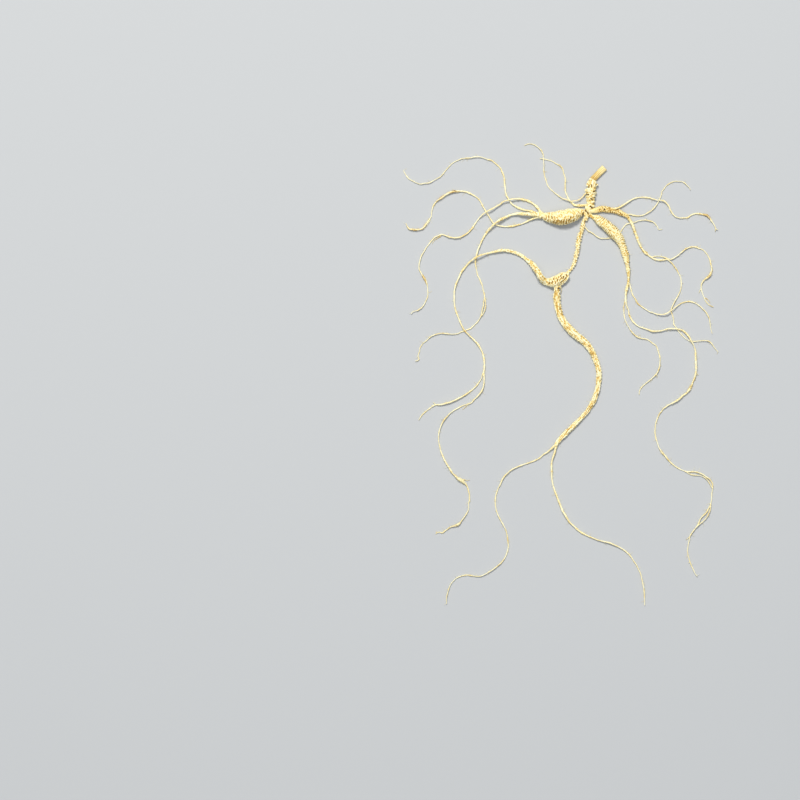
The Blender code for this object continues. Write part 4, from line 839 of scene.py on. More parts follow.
def relief(points, rows, skin, key):
    """How deep the skin is drawn in, its painted shade and highlight, and its place on the unrolled skin."""
    along, across, upward, outward, reach, radius = seat(points, rows)
    slender = np.clip(radius / SLENDER, LEAST_SHARE, 1)
    sway = noise_rows(along / (SWAY_RINGS * skin.ring), across + key, upward)
    turns = (along + skin.slant * across * radius) / skin.ring + RING_SWAY * sway
    if skin.knit:
        row = across * radius / skin.knit
        turns += KNIT_SHIFT * np.floor(row) + KNIT_LEAN * np.abs(row % 1 - 0.5)
    groove = (0.5 + 0.5 * np.cos(2 * math.pi * turns)) ** RING_SHARPNESS
    places = along / (BREAK_RINGS * skin.ring), BREAK_ROUND * across + key, BREAK_ROUND * upward
    broken = noise_rows(*places)
    groove *= np.clip(skin.whole + RING_BREAK * broken, 0, 1)
    groove *= np.clip(skin.middle - skin.lower * outward[:, 1], 0, MOST_GROOVE)
    crease = noise_rows(along / FOLD_LENGTH, skin.folds * across + 3 * key, skin.folds * upward)
    fold = np.clip(1 - FOLD_SHARPNESS * np.abs(crease), 0, 1)
    places = along / SWELLING_LENGTH, SWELLING_ROUND * across - key, SWELLING_ROUND * upward
    swelling = noise_rows(*places)
    length, width = skin.lump
    ahead = (along + skin.slant * across * radius) / length
    creases = lumps(ahead, across * radius / width + key, upward * radius / width)
    flank = np.interp(np.abs(across), FLANK, [0, 1])
    knob = along / skin.ring + KNOB_SHIFT * np.sign(across)
    knob = flank * np.sin(2 * math.pi * knob + KNOB_SWAY * sway)
    drawn = skin.depth * groove + skin.fold * fold + skin.lump_depth * creases + skin.knob * knob
    drawn *= np.interp(along, [skin.calm - CALM_FADE, skin.calm], [CALM_SHARE, 1])
    dent = slender * drawn - SWELLING_SHARE * radius * swelling
    # Painted shade and highlight: the deeper a dent, the darker its colour, and a ridge that stands out is
    # painted paler.
    painted_shading = np.clip(np.sqrt(slender) * drawn / DEEP, PAINTED_RIDGE_HIGHLIGHT, DARK_LIMIT)
    unrolled = np.column_stack([across * radius, upward * radius, along])
    return dent, painted_shading, unrolled, outward, reach - radius


print("roots under", round(2 * SLENDER / MM, 1), "mm thick have shallower relief")

# %% Read a mesh, and write the finished skin into it


def read_points(piece, what="co"):
    """The places of a mesh's points, or their normals, one row each."""
    found = np.empty(len(piece.data.vertices) * 3)
    piece.data.vertices.foreach_get(what, found)
    return found.reshape(-1, 3)


def kept_inside(points):
    """The points, none of them past the box of the solid root, so that the finer skin never outgrows it."""
    return np.clip(points, cad_low, cad_high)


def write_skin(piece, points, painted_shading, unrolled, tone):
    """Moves the mesh to its new points and stores what the material needs to know about each of them."""
    piece.data.vertices.foreach_set("co", kept_inside(points).ravel())
    for name, values in (("painted_shading", painted_shading), ("tone", tone)):
        layer = piece.data.attributes.new(name, "FLOAT", "POINT")
        layer.data.foreach_set("value", values)
    layer = piece.data.attributes.new("unrolled", "FLOAT_VECTOR", "POINT")
    layer.data.foreach_set("vector", unrolled.ravel())
    piece.data.update()
    select_only(piece)
    bpy.ops.object.shade_smooth()
    print(piece.name, "has", len(piece.data.polygons), "faces")


print("no point may lie past", np.round(cad_high / MM, 1), "mm")

# %% [markdown]
# ## The plump roots
#
# The neck, the plump roots and the swollen knot above the tail grew into one another, so there is no seam
# between them on the real root. A Boolean union would leave a sharp line at every join. A voxel remesh melts
# tubes and knobs into one closed skin with soft joins instead, and gives it even little faces, which the
# relief needs. Its price is that it forgets anything finer than its voxels, so the relief comes after it.
#
# Two skins keep each mesh light: one for the neck and what grows from it, and one for the knot, the tail and
# the start of the left arm. The central root runs from the first straight into the second.
#
# The formulas give the right kind of skin, but not the few creases and pits by which one knows this very
# root. Those could be painted into a height map. Here each is a short line with a width and a depth, pressed
# in like a fingernail's mark, because a list of lines is easy to read and to correct.

# %% Marks that a formula can't place
# Each mark is also painted darker with its depth: painted shade in the crease or pit.
# Creases and pits read from the top view: x and y of one end, x and y of the other, width in pixels, and
# depth in mm. A depth below nothing is a bump.
NECK_MARKS = [
    (591.2, 185.2, 591.3, 187.2, 1.5, 1.4), (588.4, 182.9, 589.2, 183.6, 1.3, 0.5),
    (590.8, 190.6, 591.8, 191.4, 1.4, 0.6), (594.0, 192.0, 595.8, 190.8, 1.8, 1.4),
    (593.0, 190.2, 594.8, 188.6, 1.2, 0.5), (586.6, 194.9, 588.4, 195.0, 1.5, 1.2),
    (587.0, 186.9, 588.6, 187.4, 1.4, 1.2), (591.7, 196.6, 593.4, 199.0, 1.2, 0.7),
    (590.6, 198.9, 592.6, 200.5, 1.6, 1.3), (594.2, 197.6, 596.0, 198.4, 1.5, 1.2),
    (588.4, 201.6, 591.0, 200.6, 1.1, 0.5), (591.6, 203.6, 593.6, 203.0, 1.2, 0.5),
    (590.0, 206.4, 592.6, 208.0, 1.7, 1.3), (588.6, 192.6, 590.4, 193.8, 1.2, 0.5),
    (585.0, 209.6, 585.9, 211.9, 1.5, 1.6), (587.3, 212.4, 588.9, 214.5, 1.5, 1.4),
    (585.0, 221.8, 587.6, 221.8, 1.8, 2.0), (585.6, 216.5, 586.6, 219.5, 1.1, 0.3),
    (590.4, 215.0, 588.4, 219.4, 1.4, 0.6), (584.0, 212.2, 583.4, 214.6, 1.3, 0.9),
    # This wide mark paints the shadow that the crown casts on the start of the curved root.
    (591.2, 216.0, 592.6, 217.6, 3.2, 0.6),
]
SPINDLE_MARKS = [
    (545.6, 215.6, 546, 218, 1.1, 0.7), (548.2, 215.8, 548.4, 218.4, 1.2, 0.9),
    (548.8, 213.6, 549.2, 215, 1, 0.5), (551.4, 216.4, 551.8, 218.8, 1.3, 1.1),
    (553.8, 216.8, 554.2, 218.8, 1.1, 0.7), (556.6, 217.6, 557, 219.2, 1, 0.6),
    (567.8, 210.9, 568.8, 212, 1.1, 0.5), (570.2, 217.4, 570.9, 218.7, 1.1, 0.6),
    (581.6, 210.4, 582.6, 214.4, 1.2, 0.6), (568.6, 222, 570.8, 217.4, 1.4, 0.8),
    (578.6, 211.8, 580, 214, 1.1, 0.5), (563, 213.4, 563.8, 214.4, 1, 0.4),
    (554, 220.4, 553.4, 222.6, 1.2, 0.7), (556.4, 220.8, 555.8, 223.6, 1.2, 0.8),
    (558.9, 221, 558.4, 224.4, 1.2, 0.8), (561.4, 220.8, 561, 224.4, 1.2, 0.8),
    (563.9, 220.6, 563.6, 224, 1.2, 0.7), (566.4, 220.2, 566.2, 223.6, 1.2, 0.7),
    (573.4, 217.8, 574.4, 220, 1.1, 0.6), (576.4, 216.6, 577.6, 218.6, 1.1, 0.5),
    (541.6, 212.4, 541.8, 212.8, 1.8, -0.5), (540.6, 217, 540.7, 217.6, 1.6, -0.5),
    (537.4, 213.4, 537.8, 213.6, 1.8, -0.4), (539.4, 213.6, 539.2, 216, 1, 0.4),
]
ARM_MARKS = [
    (604.1, 209.1, 604.9, 210.3, 1.7, 1.0), (600.4, 209.2, 599.4, 211.4, 1.2, 0.5),
    (609.5, 207.4, 609.2, 209.2, 1.2, 0.6), (611, 210.9, 612.4, 209.6, 1.3, 0.5),
    (613.2, 209.7, 614.5, 210.3, 1.2, 0.7), (615.9, 208.9, 617.5, 209.3, 1.5, 0.9),
    (620.2, 213, 621.1, 214.7, 1.4, 0.7), (622.5, 213.8, 622.6, 216.4, 1, 0.4),
    (624.7, 214.2, 624.6, 217, 1, 0.4), (607.8, 209.4, 608.5, 211.6, 1.1, 0.4),
    (606.2, 208, 607, 209.4, 1, 0.4), (618.2, 210.4, 618.8, 212.6, 1.1, 0.5),
    (620.3, 209.3, 620.4, 209.6, 1.9, -0.6), (607.8, 221, 609.3, 222.9, 1.7, 0.9),
    (601.8, 223.9, 603, 225.6, 1.2, 0.5), (605.6, 226.2, 606.6, 228, 1, 0.4),
    (608.2, 229.8, 609.4, 231.8, 1.2, 0.6), (612.8, 227.8, 614.2, 229.4, 1.2, 0.6),
    (612.6, 232, 614, 233.8, 1.1, 0.5), (617, 233.2, 618.6, 235.2, 1.2, 0.5),
    (624.5, 246, 625.5, 247.6, 1.2, 0.5), (625.5, 250, 626.6, 251.7, 1.4, 0.8),
    (626.8, 252.7, 628.1, 254, 1.1, 0.5), (628, 257, 628.7, 259.6, 1, 0.5),
    (628.3, 261.4, 629.1, 263.4, 1.3, 0.7), (586.5, 223.4, 587.1, 223.6, 1.9, -0.6),
    (581.3, 240.4, 581.7, 240.6, 1.6, -0.4),
]
KNOT_MARKS = [
    (549.6, 279.2, 549.2, 280.4, 1.3, 0.9), (548.8, 282.3, 548.3, 284.6, 1.4, 1.1),
    (552.2, 281.4, 551.3, 284.0, 1.5, 1.0), (553.7, 277.6, 553.2, 279.4, 1.4, 1.1),
    (557.7, 279.2, 557.1, 281.2, 1.4, 1.1), (555.6, 282.0, 555.0, 284.0, 1.3, 0.9),
    (560.8, 274.8, 560.2, 276.3, 1.3, 1.0), (561.6, 277.3, 561.1, 279.2, 1.3, 1.0),
    (562.2, 273.4, 561.6, 274.4, 1.2, 0.8), (563.7, 276.6, 563.2, 278.9, 1.6, 1.4),
    (565.9, 278.1, 565.1, 279.6, 1.5, 1.3), (566.6, 274.6, 567.0, 276.7, 1.4, 1.1),
    (560.8, 282.9, 562.3, 281.9, 1.7, 1.7), (558.2, 288.4, 560.4, 288.5, 1.8, 1.6),
    (560.1, 279.5, 559.7, 281.2, 1.2, 0.8), (546.9, 281.6, 546.5, 283.3, 1.2, 0.8),
    (563.2, 281.0, 564.6, 280.0, 1.3, 0.9), (558.6, 276.2, 558.2, 277.6, 1.2, 0.8),
    (556.0, 277.6, 555.7, 278.8, 1.1, 0.7), (551.2, 279.0, 550.8, 280.4, 1.1, 0.6),
    (558.2, 283.2, 557.7, 284.8, 1.2, 0.7), (554.3, 280.6, 554.0, 281.8, 1.1, 0.6),
]
TAIL_MARKS = [
    (561.4, 289.6, 559.8, 290.4, 1.3, 0.8), (561.6, 293.2, 560, 293.8, 1.4, 0.9),
    (561.7, 296.6, 560.2, 297.2, 1.4, 0.9), (561.8, 300.2, 560.3, 300.8, 1.4, 0.9),
    (561.8, 303.6, 560.4, 304.2, 1.3, 0.8), (561.6, 308.8, 559.4, 309.4, 1.3, 0.8),
    (564.2, 320.2, 565.2, 321.8, 1.3, 0.7), (565.4, 322.4, 566.4, 323.8, 1.2, 0.6),
    (568.2, 323.8, 569.4, 325, 1.2, 0.6), (569.6, 325.8, 570.8, 327.2, 1.2, 0.6),
    (561.4, 310.8, 562.4, 312.2, 1.2, 0.6), (562.4, 313.2, 563.4, 315.2, 1.3, 0.7),
    (558.8, 311.8, 559.6, 313.4, 1.2, 0.5), (559.8, 314.6, 560.8, 316.6, 1.1, 0.4),
    (557.4, 292.6, 557.2, 296, 1.1, 0.5), (558, 299.4, 558.6, 302.8, 1.1, 0.5),
    (558.2, 306.4, 558.4, 308.2, 1, 0.4), (562.8, 318, 563.8, 319.6, 1, 0.4),
    (553.4, 297.2, 553.5, 298, 1.8, -0.5), (588.7, 345.4, 589.6, 347, 1.3, 0.9),
    (590.2, 348.8, 591.1, 350.6, 1.2, 0.9), (592.2, 353.2, 593, 355, 1.2, 0.9),
    (593.4, 356, 594, 357.6, 1.2, 0.8), (595.2, 358.8, 595.9, 360.4, 1.2, 0.7),
    (597.6, 365, 598.2, 367.4, 1.1, 0.5), (598.9, 377.4, 597.2, 378.4, 1.1, 0.6),
    (597.3, 388, 596.9, 391, 1.1, 0.5), (597, 395.4, 596.2, 398.4, 1.2, 0.8),
    (595.6, 400, 594.6, 403, 1.2, 0.8), (592, 401.6, 591, 404, 1.1, 0.6),
    (592.6, 405.4, 591.2, 407.6, 1.2, 0.9), (589, 404, 587.8, 406.4, 1.1, 0.6),
    (586.4, 411.4, 584.8, 414, 1.1, 0.7), (580.6, 418.4, 579, 420.6, 1.2, 0.7),
    (571.4, 425.6, 569.8, 427.4, 1.1, 0.5), (563.8, 438.6, 562, 440.8, 1.1, 0.7),
    (561, 442.2, 559.4, 444.2, 1.1, 0.6),
    (524.8, 257.7, 525.3, 258.4, 1.8, 0.6), (533.8, 264, 534.3, 265, 1.1, 0.4),
    (536.9, 270.2, 537.3, 271.3, 1.1, 0.4), (531.2, 262.6, 531.7, 263.4, 1.2, 0.5),
]
print(len(NECK_MARKS + SPINDLE_MARKS + ARM_MARKS + KNOT_MARKS + TAIL_MARKS), "creases, pits and bumps")

# %% Press the marks in
PIT_SHADE = 0.8  # painted shade: how dark a mark is painted for each mm of its depth
PIT_SHADE_LIMIT = 0.9
PIT_SHADE_EDGE = 1.4  # more makes the patch of painted shade wider, up to the mark's edge


def marked(points, normals, marks):
    """How deep the marks dent the skin, all but its underside, and how dark the painted shade in them is."""
    dent = np.zeros(len(points))
    dark = np.full(len(points), PAINTED_RIDGE_HIGHLIGHT)
    in_view = np.clip(1 + 2 * normals[:, 2], 0, 1)
    for x1, y1, x2, y2, width, depth in marks:
        start = np.array(on_surface(x1, y1))
        line = np.array(on_surface(x2, y2)) - start
        share = np.clip(((points[:, :2] - start) @ line) / (line @ line), 0, 1)
        gap = np.linalg.norm(points[:, :2] - start - share[:, None] * line, axis=1) / (width * PIXEL / 2)
        bowl = in_view * np.clip(1 - gap**2, 0, 1)
        dent += depth * MM * bowl
        dark = np.maximum(dark, np.clip(PIT_SHADE_EDGE * bowl, 0, 1) * np.clip(PIT_SHADE * depth, 0, PIT_SHADE_LIMIT))
    return dent, dark


print("a mark gets its darkest colour from", PIT_SHADE_LIMIT / PIT_SHADE, "mm of depth")

# %% [markdown]
# ### The buds
#
# The neck's outline is set by the buds and the rims of old stem scars. They could be pulled out of the tube
# by proportional editing. A ball pushed halfway in does the same, and the remesh melts it into the neck.

# %% Buds and stem scars
BUD_TURN = 0.9  # radians from one bud to the next, so that no two are alike
BUD_SMOOTHNESS = 3
# Place, radius in pixels, and height over the table as a share of the height of the neck's axis
BUDS = [
    (587.8, 184.8, 1.9, 1.0), (596.4, 185.0, 1.7, 0.9), (586.9, 190.6, 1.9, 1.1), (594.8, 193.4, 2.0, 0.8),
    (587.8, 198.6, 2.2, 1.0), (593.4, 201.8, 1.9, 1.2), (593.0, 205.4, 1.9, 1.1), (591.6, 188.6, 2.4, 1.5),
    (586.4, 207.6, 1.6, 1.2), (591.4, 182.2, 2.3, 1.3),
]


def bud(index, x, y, radius, share):
    """A small rounded knob, from a ball that is pushed into the neck."""
    place = on_surface(x, y)
    nearest = laid["rhizome"][nearest_row(laid["rhizome"], place)]
    bpy.ops.mesh.primitive_ico_sphere_add(
        subdivisions=BUD_SMOOTHNESS,
        radius=radius * PIXEL,
        location=(*place, nearest[2] * share),
        rotation=(0, 0, index * BUD_TURN),
    )
    return bpy.context.object


buds = [bud(index, *each) for index, each in enumerate(BUDS)]
print(len(buds), "buds and rims on the neck")

# %% Melt the plump roots into one skin and roughen it
BODY_STEP = 0.6 * MM
BODY_SIDES = 20
VOXEL = 0.27 * MM
SMOOTH_FACTOR = 0.5
SMOOTH_ROUNDS = 4
BLEND = 0.45 * MM  # how far the relief of one root reaches over its join with the next
NEAR_BLENDS = 8  # past this many blends a root has no say
NO_WEIGHT = 1e-9
END_LENGTH = 1.2 * MM  # over which a plump start narrows, inside the thin run that carries on from it
END_SHARE = 0.8
RUN_ON = 1 * MM  # of the plump start, past its own length
PLUMP_START = {"banana": 52 * MM, "right_arm": 34 * MM, "left_arm": 50 * MM}
NECK_BODY = ["rhizome", "spindle", "central_root", "right_arm", "banana"]
TAIL_BODY = ["lump", "tail", "left_arm"]
KEYS = {name: index for index, name in enumerate(laid)}


def plump_rows(name):
    """The rows of a root, or of its plump start, which narrows where the thin run takes over."""
    rows = laid[name]
    if name in PLUMP_START:
        along = length_along(rows)
        rows = rows[along <= PLUMP_START[name] + RUN_ON].copy()
        left = (length_along(rows)[-1] - length_along(rows)) / END_LENGTH
        rows[:, 3] *= np.interp(left, [0, 1], [END_SHARE, 1])
    return resampled(rows, BODY_STEP)


def plump_body(name, roots, extra_parts, marks):
    """One closed skin over several roots that grew together."""
    limbs = {root: plump_rows(root) for root in roots}
    parts = [tubes(root, [rows], BODY_SIDES) for root, rows in limbs.items()]
    body = joined(name, parts + extra_parts)
    bpy.ops.object.transform_apply(location=True, rotation=True, scale=True)
    apply_modifier(body, "REMESH", mode="VOXEL", voxel_size=VOXEL)
    apply_modifier(body, "SMOOTH", factor=SMOOTH_FACTOR, iterations=SMOOTH_ROUNDS)
    points = read_points(body)
    normals = read_points(body, "normal")
    dent, painted_shading, tone, weight, strongest = np.zeros((5, len(points)))
    unrolled = np.zeros((len(points), 3))
    for root, rows in limbs.items():
        far = NEAR_BLENDS * BLEND + rows[:, 3].max()
        inside = (points > rows[:, :3].min(axis=0) - far) & (points < rows[:, :3].max(axis=0) + far)
        near = np.flatnonzero(inside.all(axis=1))
        drawn, dark, place, outward, gap = relief(points[near], rows, SKINS[root], KEYS[root])
        share = np.exp(-np.abs(gap) / BLEND)
        dent[near] += share * drawn
        painted_shading[near] += share * dark
        tone[near] += share * SKINS[root].tone
        weight[near] += share
        wins = share > strongest[near]
        unrolled[near[wins]] = place[wins] + KEYS[root]
        strongest[near] = np.maximum(strongest[near], share)
    weight = np.maximum(weight, NO_WEIGHT)
    mark_dent, mark_dark = marked(points, normals, marks)
    points -= normals * (dent / weight + mark_dent)[:, None]
    write_skin(body, points, np.maximum(painted_shading / weight, mark_dark), unrolled, tone / weight)
    return body


neck = plump_body("neck_and_plump_roots", NECK_BODY, buds, NECK_MARKS + SPINDLE_MARKS + ARM_MARKS)

# %% The knot and the tail, with the pale strand that hugs the lower right of the knot
STRAND_SINK = 0.2 * MM
KNOT_STRAND = [
    (567.4, 273.4, 1.8), (568.2, 276.2), (567.2, 278.9), (565, 281.5), (562.1, 284.1), (559.5, 286.4),
    (557, 288.2, 1.9),
]
strand_rows = smooth_through(read_route(KNOT_STRAND))
lump = laid["lump"]
gaps = np.linalg.norm(strand_rows[:, None, :2] - lump[None, :, :2], axis=2)
on_lump = (lump[:, 2] + np.sqrt(np.maximum(lump[:, 3] ** 2 - gaps**2, 0))).max(axis=1)
strand_rows = np.column_stack([strand_rows[:, :2], on_lump - STRAND_SINK, strand_rows[:, 2]])
strand = tubes("knot_strand", [strand_rows], BODY_SIDES)
knot = plump_body("knot_and_tail", TAIL_BODY, [strand], KNOT_MARKS + TAIL_MARKS)
pieces = [neck, knot]

# %% [markdown]
# ## The rootlets
#
# A rootlet is thinner than a matchstick and never quite straight or even: it kinks a little every few
# millimetres, swells at its joints, and carries small warts, which growers call pearls. Melting them with
# voxels would take very many faces, so each keeps its tube, and its points are pushed in and out directly.

# %% Bend each rootlet a little and make it uneven
ROOTLET_STEP = 0.45 * MM
ROOTLET_SIDES = 10
KINK = 0.12 * MM
KINK_LENGTH = 3.2 * MM
FOOT_CALM = 6 * MM  # the length over which the kinks set in
END_CALM = 3 * MM  # and over which they fade again
SWELL_SHARE = 0.32
SWELL_LENGTH = 2.3 * MM
SLOW_SHARE = 0.26
SLOW_LENGTH = 8 * MM
FLARE = 0.4
FLARE_LENGTH = 1.5 * MM
SLIMMER = 0.92  # than the plain solid, whose least radius is a little too wide
TIP_LENGTH = 7 * MM
TIP_SHARE = 0.7
POINT_LENGTH = 0.04  # share of the tip that is drawn in more, at its very end
POINT_SHARE = 0.6
LEAST_GAP = 0.05 * MM
OVERLAP = 3 * MM  # that a thin run starts inside the plump start of the same root


def grown(name, joins_end=False):
    """The rows of one rootlet, a little crooked and uneven, with a wider foot and a drawn-out tip."""
    rows = laid[name]
    if name in PLUMP_START:
        rows = rows[length_along(rows) >= PLUMP_START[name] - OVERLAP]
    rows = resampled(rows, ROOTLET_STEP)
    along = length_along(rows)
    left = along[-1] - along
    key = np.full(len(rows), KEYS[name] + 0.5)
    ahead = headings(rows[:, :2])
    settled = np.clip(along / FOOT_CALM, 0, 1) * np.clip(left / END_CALM, 0, 1)
    kink = KINK * settled * noise_rows(along / KINK_LENGTH, key, 0 * key)
    rows[:, 0] -= kink * ahead[:, 1]
    rows[:, 1] += kink * ahead[:, 0]
    uneven = 1 + SWELL_SHARE * settled * noise_rows(along / SWELL_LENGTH, key, 0 * key + 5)
    uneven += SLOW_SHARE * settled * noise_rows(along / SLOW_LENGTH, key, 0 * key + 9)
    if name in PLUMP_START:
        uneven *= np.interp(along / OVERLAP, [0, 0.5], [END_SHARE, 1])
    else:
        uneven *= 1 + FLARE * np.exp(-along / FLARE_LENGTH)
    if not joins_end:
        uneven *= np.interp(left / TIP_LENGTH, [0, POINT_LENGTH, 1], [POINT_SHARE * TIP_SHARE, TIP_SHARE, 1])
    rows[:, 3] *= SLIMMER * uneven
    rows[:, 2] = np.maximum(rows[:, 2], rows[:, 3] + LEAST_GAP)
    return rows


print("a rootlet kinks about every", round(KINK_LENGTH / MM, 1), "mm")

# %% Grow them from their routes
PEARL_SPACING = 5 * MM
PEARL_RADIUS = (0.28 * MM, 0.5 * MM)
PEARL_GAPS = (0.3, 1.7)  # from one to the next, in spacings
PEARL_HEIGHT = 0.65  # as a share of its radius
TONE_LENGTH = 12 * MM  # over which the plump start's colour fades into the rootlet's
DRIFT_LENGTH = 14 * MM
DRIFT = 0.3  # how much paler and darker a rootlet gets along its length


def pearls(along, across, upward, radius, length, key):
    """How far the small warts stand out, at each point of a rootlet."""
    draw = random.Random(key)
    height = np.zeros(len(along))
    spot = PEARL_SPACING * draw.random()
    while spot < length:
        turn = draw.uniform(0, 2 * math.pi)
        size = draw.uniform(*PEARL_RADIUS)
        round_it = radius * np.hypot(across - math.cos(turn), upward - math.sin(turn))
        gap = np.hypot(along - spot, round_it) / size
        height = np.maximum(height, PEARL_HEIGHT * size * np.clip(1 - gap**2, 0, 1))
        spot += PEARL_SPACING * draw.uniform(*PEARL_GAPS)
    return height


def rootlet(name, joins_end=False):
    """One rootlet as a mesh, with its relief, and what the material needs to know of each point."""
    rows = grown(name, joins_end)
    made = tubes(name, [rows], ROOTLET_SIDES)
    points = read_points(made)
    key = KEYS[name]
    dent, painted_shading, unrolled, outward, _ = relief(points, rows, ROOTLET_SKIN, key)
    across, upward, along = unrolled.T
    radius = np.maximum(np.hypot(across, upward), WELD)
    height = pearls(along, across / radius, upward / radius, radius, length_along(rows)[-1], key)
    points -= outward * (dent - height)[:, None]
    drift = noise_rows(along / DRIFT_LENGTH, 0 * radius + key, 0 * radius)
    tone = ROOTLET_SKIN.tone + DRIFT * drift
    if name in PLUMP_START:
        faded = np.clip(along / TONE_LENGTH, 0, 1)
        tone = (1 - faded) * SKINS[name].tone + faded * tone
    write_skin(made, points, painted_shading, unrolled + key, tone)
    return made


ROOTLET_PIECES = {
    "left_rootlets": [
        "left_first", "left_second", "left_third", "left_third_side", "left_fourth", "crown_rootlet",
        "rhizome_rootlet",
    ],
    "left_arm_rootlets": ["left_arm", "left_arm_branch"],
    "right_rootlets": [
        "right_arm", "right_arm_eye", "right_fine", "right_top", "right_arm_branch", "central_rootlet",
    ],
    "long_right_rootlets": [
        "banana", "banana_upper_side", "banana_lower_side", "banana_inner_branch", "banana_outer_branch",
    ],
    "tail_forks": ["tail_right_fork", "tail_left_fork"],
}
ends_joined = {name for name, _, _, _, joins_end in ORDER if joins_end}
for piece_name, names in ROOTLET_PIECES.items():
    pieces.append(joined(piece_name, [rootlet(name, name in ends_joined) for name in names]))
    print(piece_name, "joins", len(names), "rootlets")

# %% [markdown]
# ## Spurs, hairs and frayed stretches
#
# Torn-off rootlets leave spurs a few millimetres long, and where the thin skin has peeled, its fibres lie
# loose along the rootlet. Particle hair could cover the root in seconds, but it is lost when the model is
# exported. A few hundred tapered tubes do the same and stay with the mesh.

# %% Where the spurs and the frayed stretches are
SPURS = [
    [(441, 235.5), (440, 236.5), (437.5, 238), (434.5, 240), (432.7, 242.5), (432.3, 244)],
    [(457, 237.5), (457.6, 236)], [(644.5, 220.2), (646, 219), (646.6, 217.4)], [(696.5, 247), (698, 245.6)],
    [(711.3, 267.5), (713, 268.2)], [(701, 289), (699.8, 291), (699, 293.4)],
    [(704, 297.5), (706.5, 298.5), (709, 300.7), (710.5, 303)], [(715.3, 229), (715.6, 230.4), (715.2, 232)],
    [(691.5, 534), (690, 536.5), (688, 538.6), (686, 540)], [(690, 562), (688.3, 563.2)],
    [(695.5, 375), (698.6, 374.6)], [(694.2, 379), (696, 380.4)], [(656.5, 374), (657.2, 376), (657, 378)],
    [(651.5, 378.8), (652.5, 380.2)], [(641.8, 387.4), (639.8, 387)],
    [(462, 479.6), (464, 479.5), (467, 480.5), (470, 480)], [(460, 479), (458.4, 481.2)],
    [(464, 482), (463.3, 485)], [(469.5, 500.5), (470.8, 502)],
    [(470, 403.4), (468, 404.5), (466, 406.5), (463.5, 408.5), (462.3, 409.8)],
    [(436, 404.9), (434, 403), (432.8, 402.4)], [(433.5, 405.8), (431.3, 405.3)],
    [(495.4, 499), (494.4, 500.8)],
    [(437, 533), (436.3, 531.6)], [(560.6, 286.6), (561.4, 290), (561.2, 293.6)],
    [(540.6, 217.4), (540.8, 219.8)], [(541.4, 212.6), (541, 210.2)], [(542.4, 213.4), (543.4, 211.6)],
]
FRAYS = [
    ("left_first", 424.5, 280), ("left_fourth", 451, 192), ("left_fourth", 443, 197),
    ("left_fourth", 425.5, 225), ("left_fourth", 413, 229), ("left_arm", 459.5, 478.3),
    ("left_arm", 457.5, 524), ("banana", 664.5, 455), ("banana", 688.5, 389), ("right_top", 709, 217.5),
    ("right_arm", 710, 275), ("left_arm", 466, 484),
]
print(len(SPURS), "spurs and", len(FRAYS), "frayed stretches")

# %% Draw spurs and hairs as tapered tubes
CLEAR = 0.03 * MM
SPUR_RADIUS = 0.34 * MM
SPUR_LIFT = 0.2 * MM
HAIR_SIDES = 6
HAIR_RADIUS = 0.11 * MM
HAIR_SPACING = 8 * MM
HAIR_GAPS = (0.3, 1.9)
HAIR_LENGTH = (1.2 * MM, 3.8 * MM)
HAIR_POINTS = 5
HAIR_LIFT = 0.3 * MM  # height of a hair's end over the table
LEAN = (0.5, 1.5)  # radians between a hair and the way its rootlet runs
BEND = 0.9
LOOK_AROUND = 3  # rows on either side, from which the direction is taken
STRAND_DRIFT_LENGTH = 5 * MM
STRAND_DRIFT = 0.5
everywhere = np.vstack(list(laid.values()))


def tapered(points, radius, share=0.35):
    """Rows for a thin tube that narrows towards its end and stays just over the table."""
    points = np.array(points)
    radii = np.linspace(radius, share * radius, len(points))
    points[:, 2] = np.maximum(points[:, 2], radii + CLEAR)
    return np.column_stack([points, radii])


def spur(route):
    """A torn-off rootlet: it leaves its root at the height of the axis and sinks to the table."""
    places = np.array([on_surface(*point) for point in route])
    nearest = everywhere[nearest_row(everywhere, places[0])]
    height = np.linspace(nearest[2], SPUR_RADIUS + SPUR_LIFT, len(places))
    return tapered(np.column_stack([places, height]), SPUR_RADIUS)


def hairs(name):
    """Fine hairs that leave a rootlet sideways and droop."""
    rows = laid[name]
    along = length_along(rows)
    draw = random.Random(100 + KEYS[name])
    spot = HAIR_SPACING
    found = []
    while spot < along[-1]:
        index = int(np.searchsorted(along, spot))
        start = rows[index, :3]
        ahead = rows[min(index + LOOK_AROUND, len(rows) - 1), :2] - rows[max(index - LOOK_AROUND, 0), :2]
        heading = math.atan2(ahead[1], ahead[0]) + draw.choice((-1, 1)) * draw.uniform(*LEAN)
        bend = draw.uniform(-BEND, BEND)
        length = draw.uniform(*HAIR_LENGTH) + rows[index, 3]
        points = [start]
        for step in range(1, HAIR_POINTS):
            turn = heading + bend * step / HAIR_POINTS
            forward = length / (HAIR_POINTS - 1)
            x = points[-1][0] + forward * math.cos(turn)
            y = points[-1][1] + forward * math.sin(turn)
            drop = (start[2] - HAIR_LIFT) * (step / (HAIR_POINTS - 1)) ** 2
            points.append((x, y, start[2] - drop))
        found.append(tapered(points, HAIR_RADIUS))
        spot += HAIR_SPACING * draw.uniform(*HAIR_GAPS)
    return found


def strands(name, several_rows, tone):
    """Many thin tubes as one piece, with the same attributes as the skin."""
    made = tubes(name, several_rows, HAIR_SIDES)
    points = read_points(made)
    drift = noise_rows(*(points / STRAND_DRIFT_LENGTH).T)
    write_skin(made, points, np.zeros(len(points)), points.copy(), tone + STRAND_DRIFT * drift)
    return made


hair_rows = [row for name in laid if name not in ("rhizome", "lump", "spindle") for row in hairs(name)]
pieces.append(strands("root_hairs", [spur(route) for route in SPURS] + hair_rows, tone=0.2))
print(len(hair_rows), "hairs")

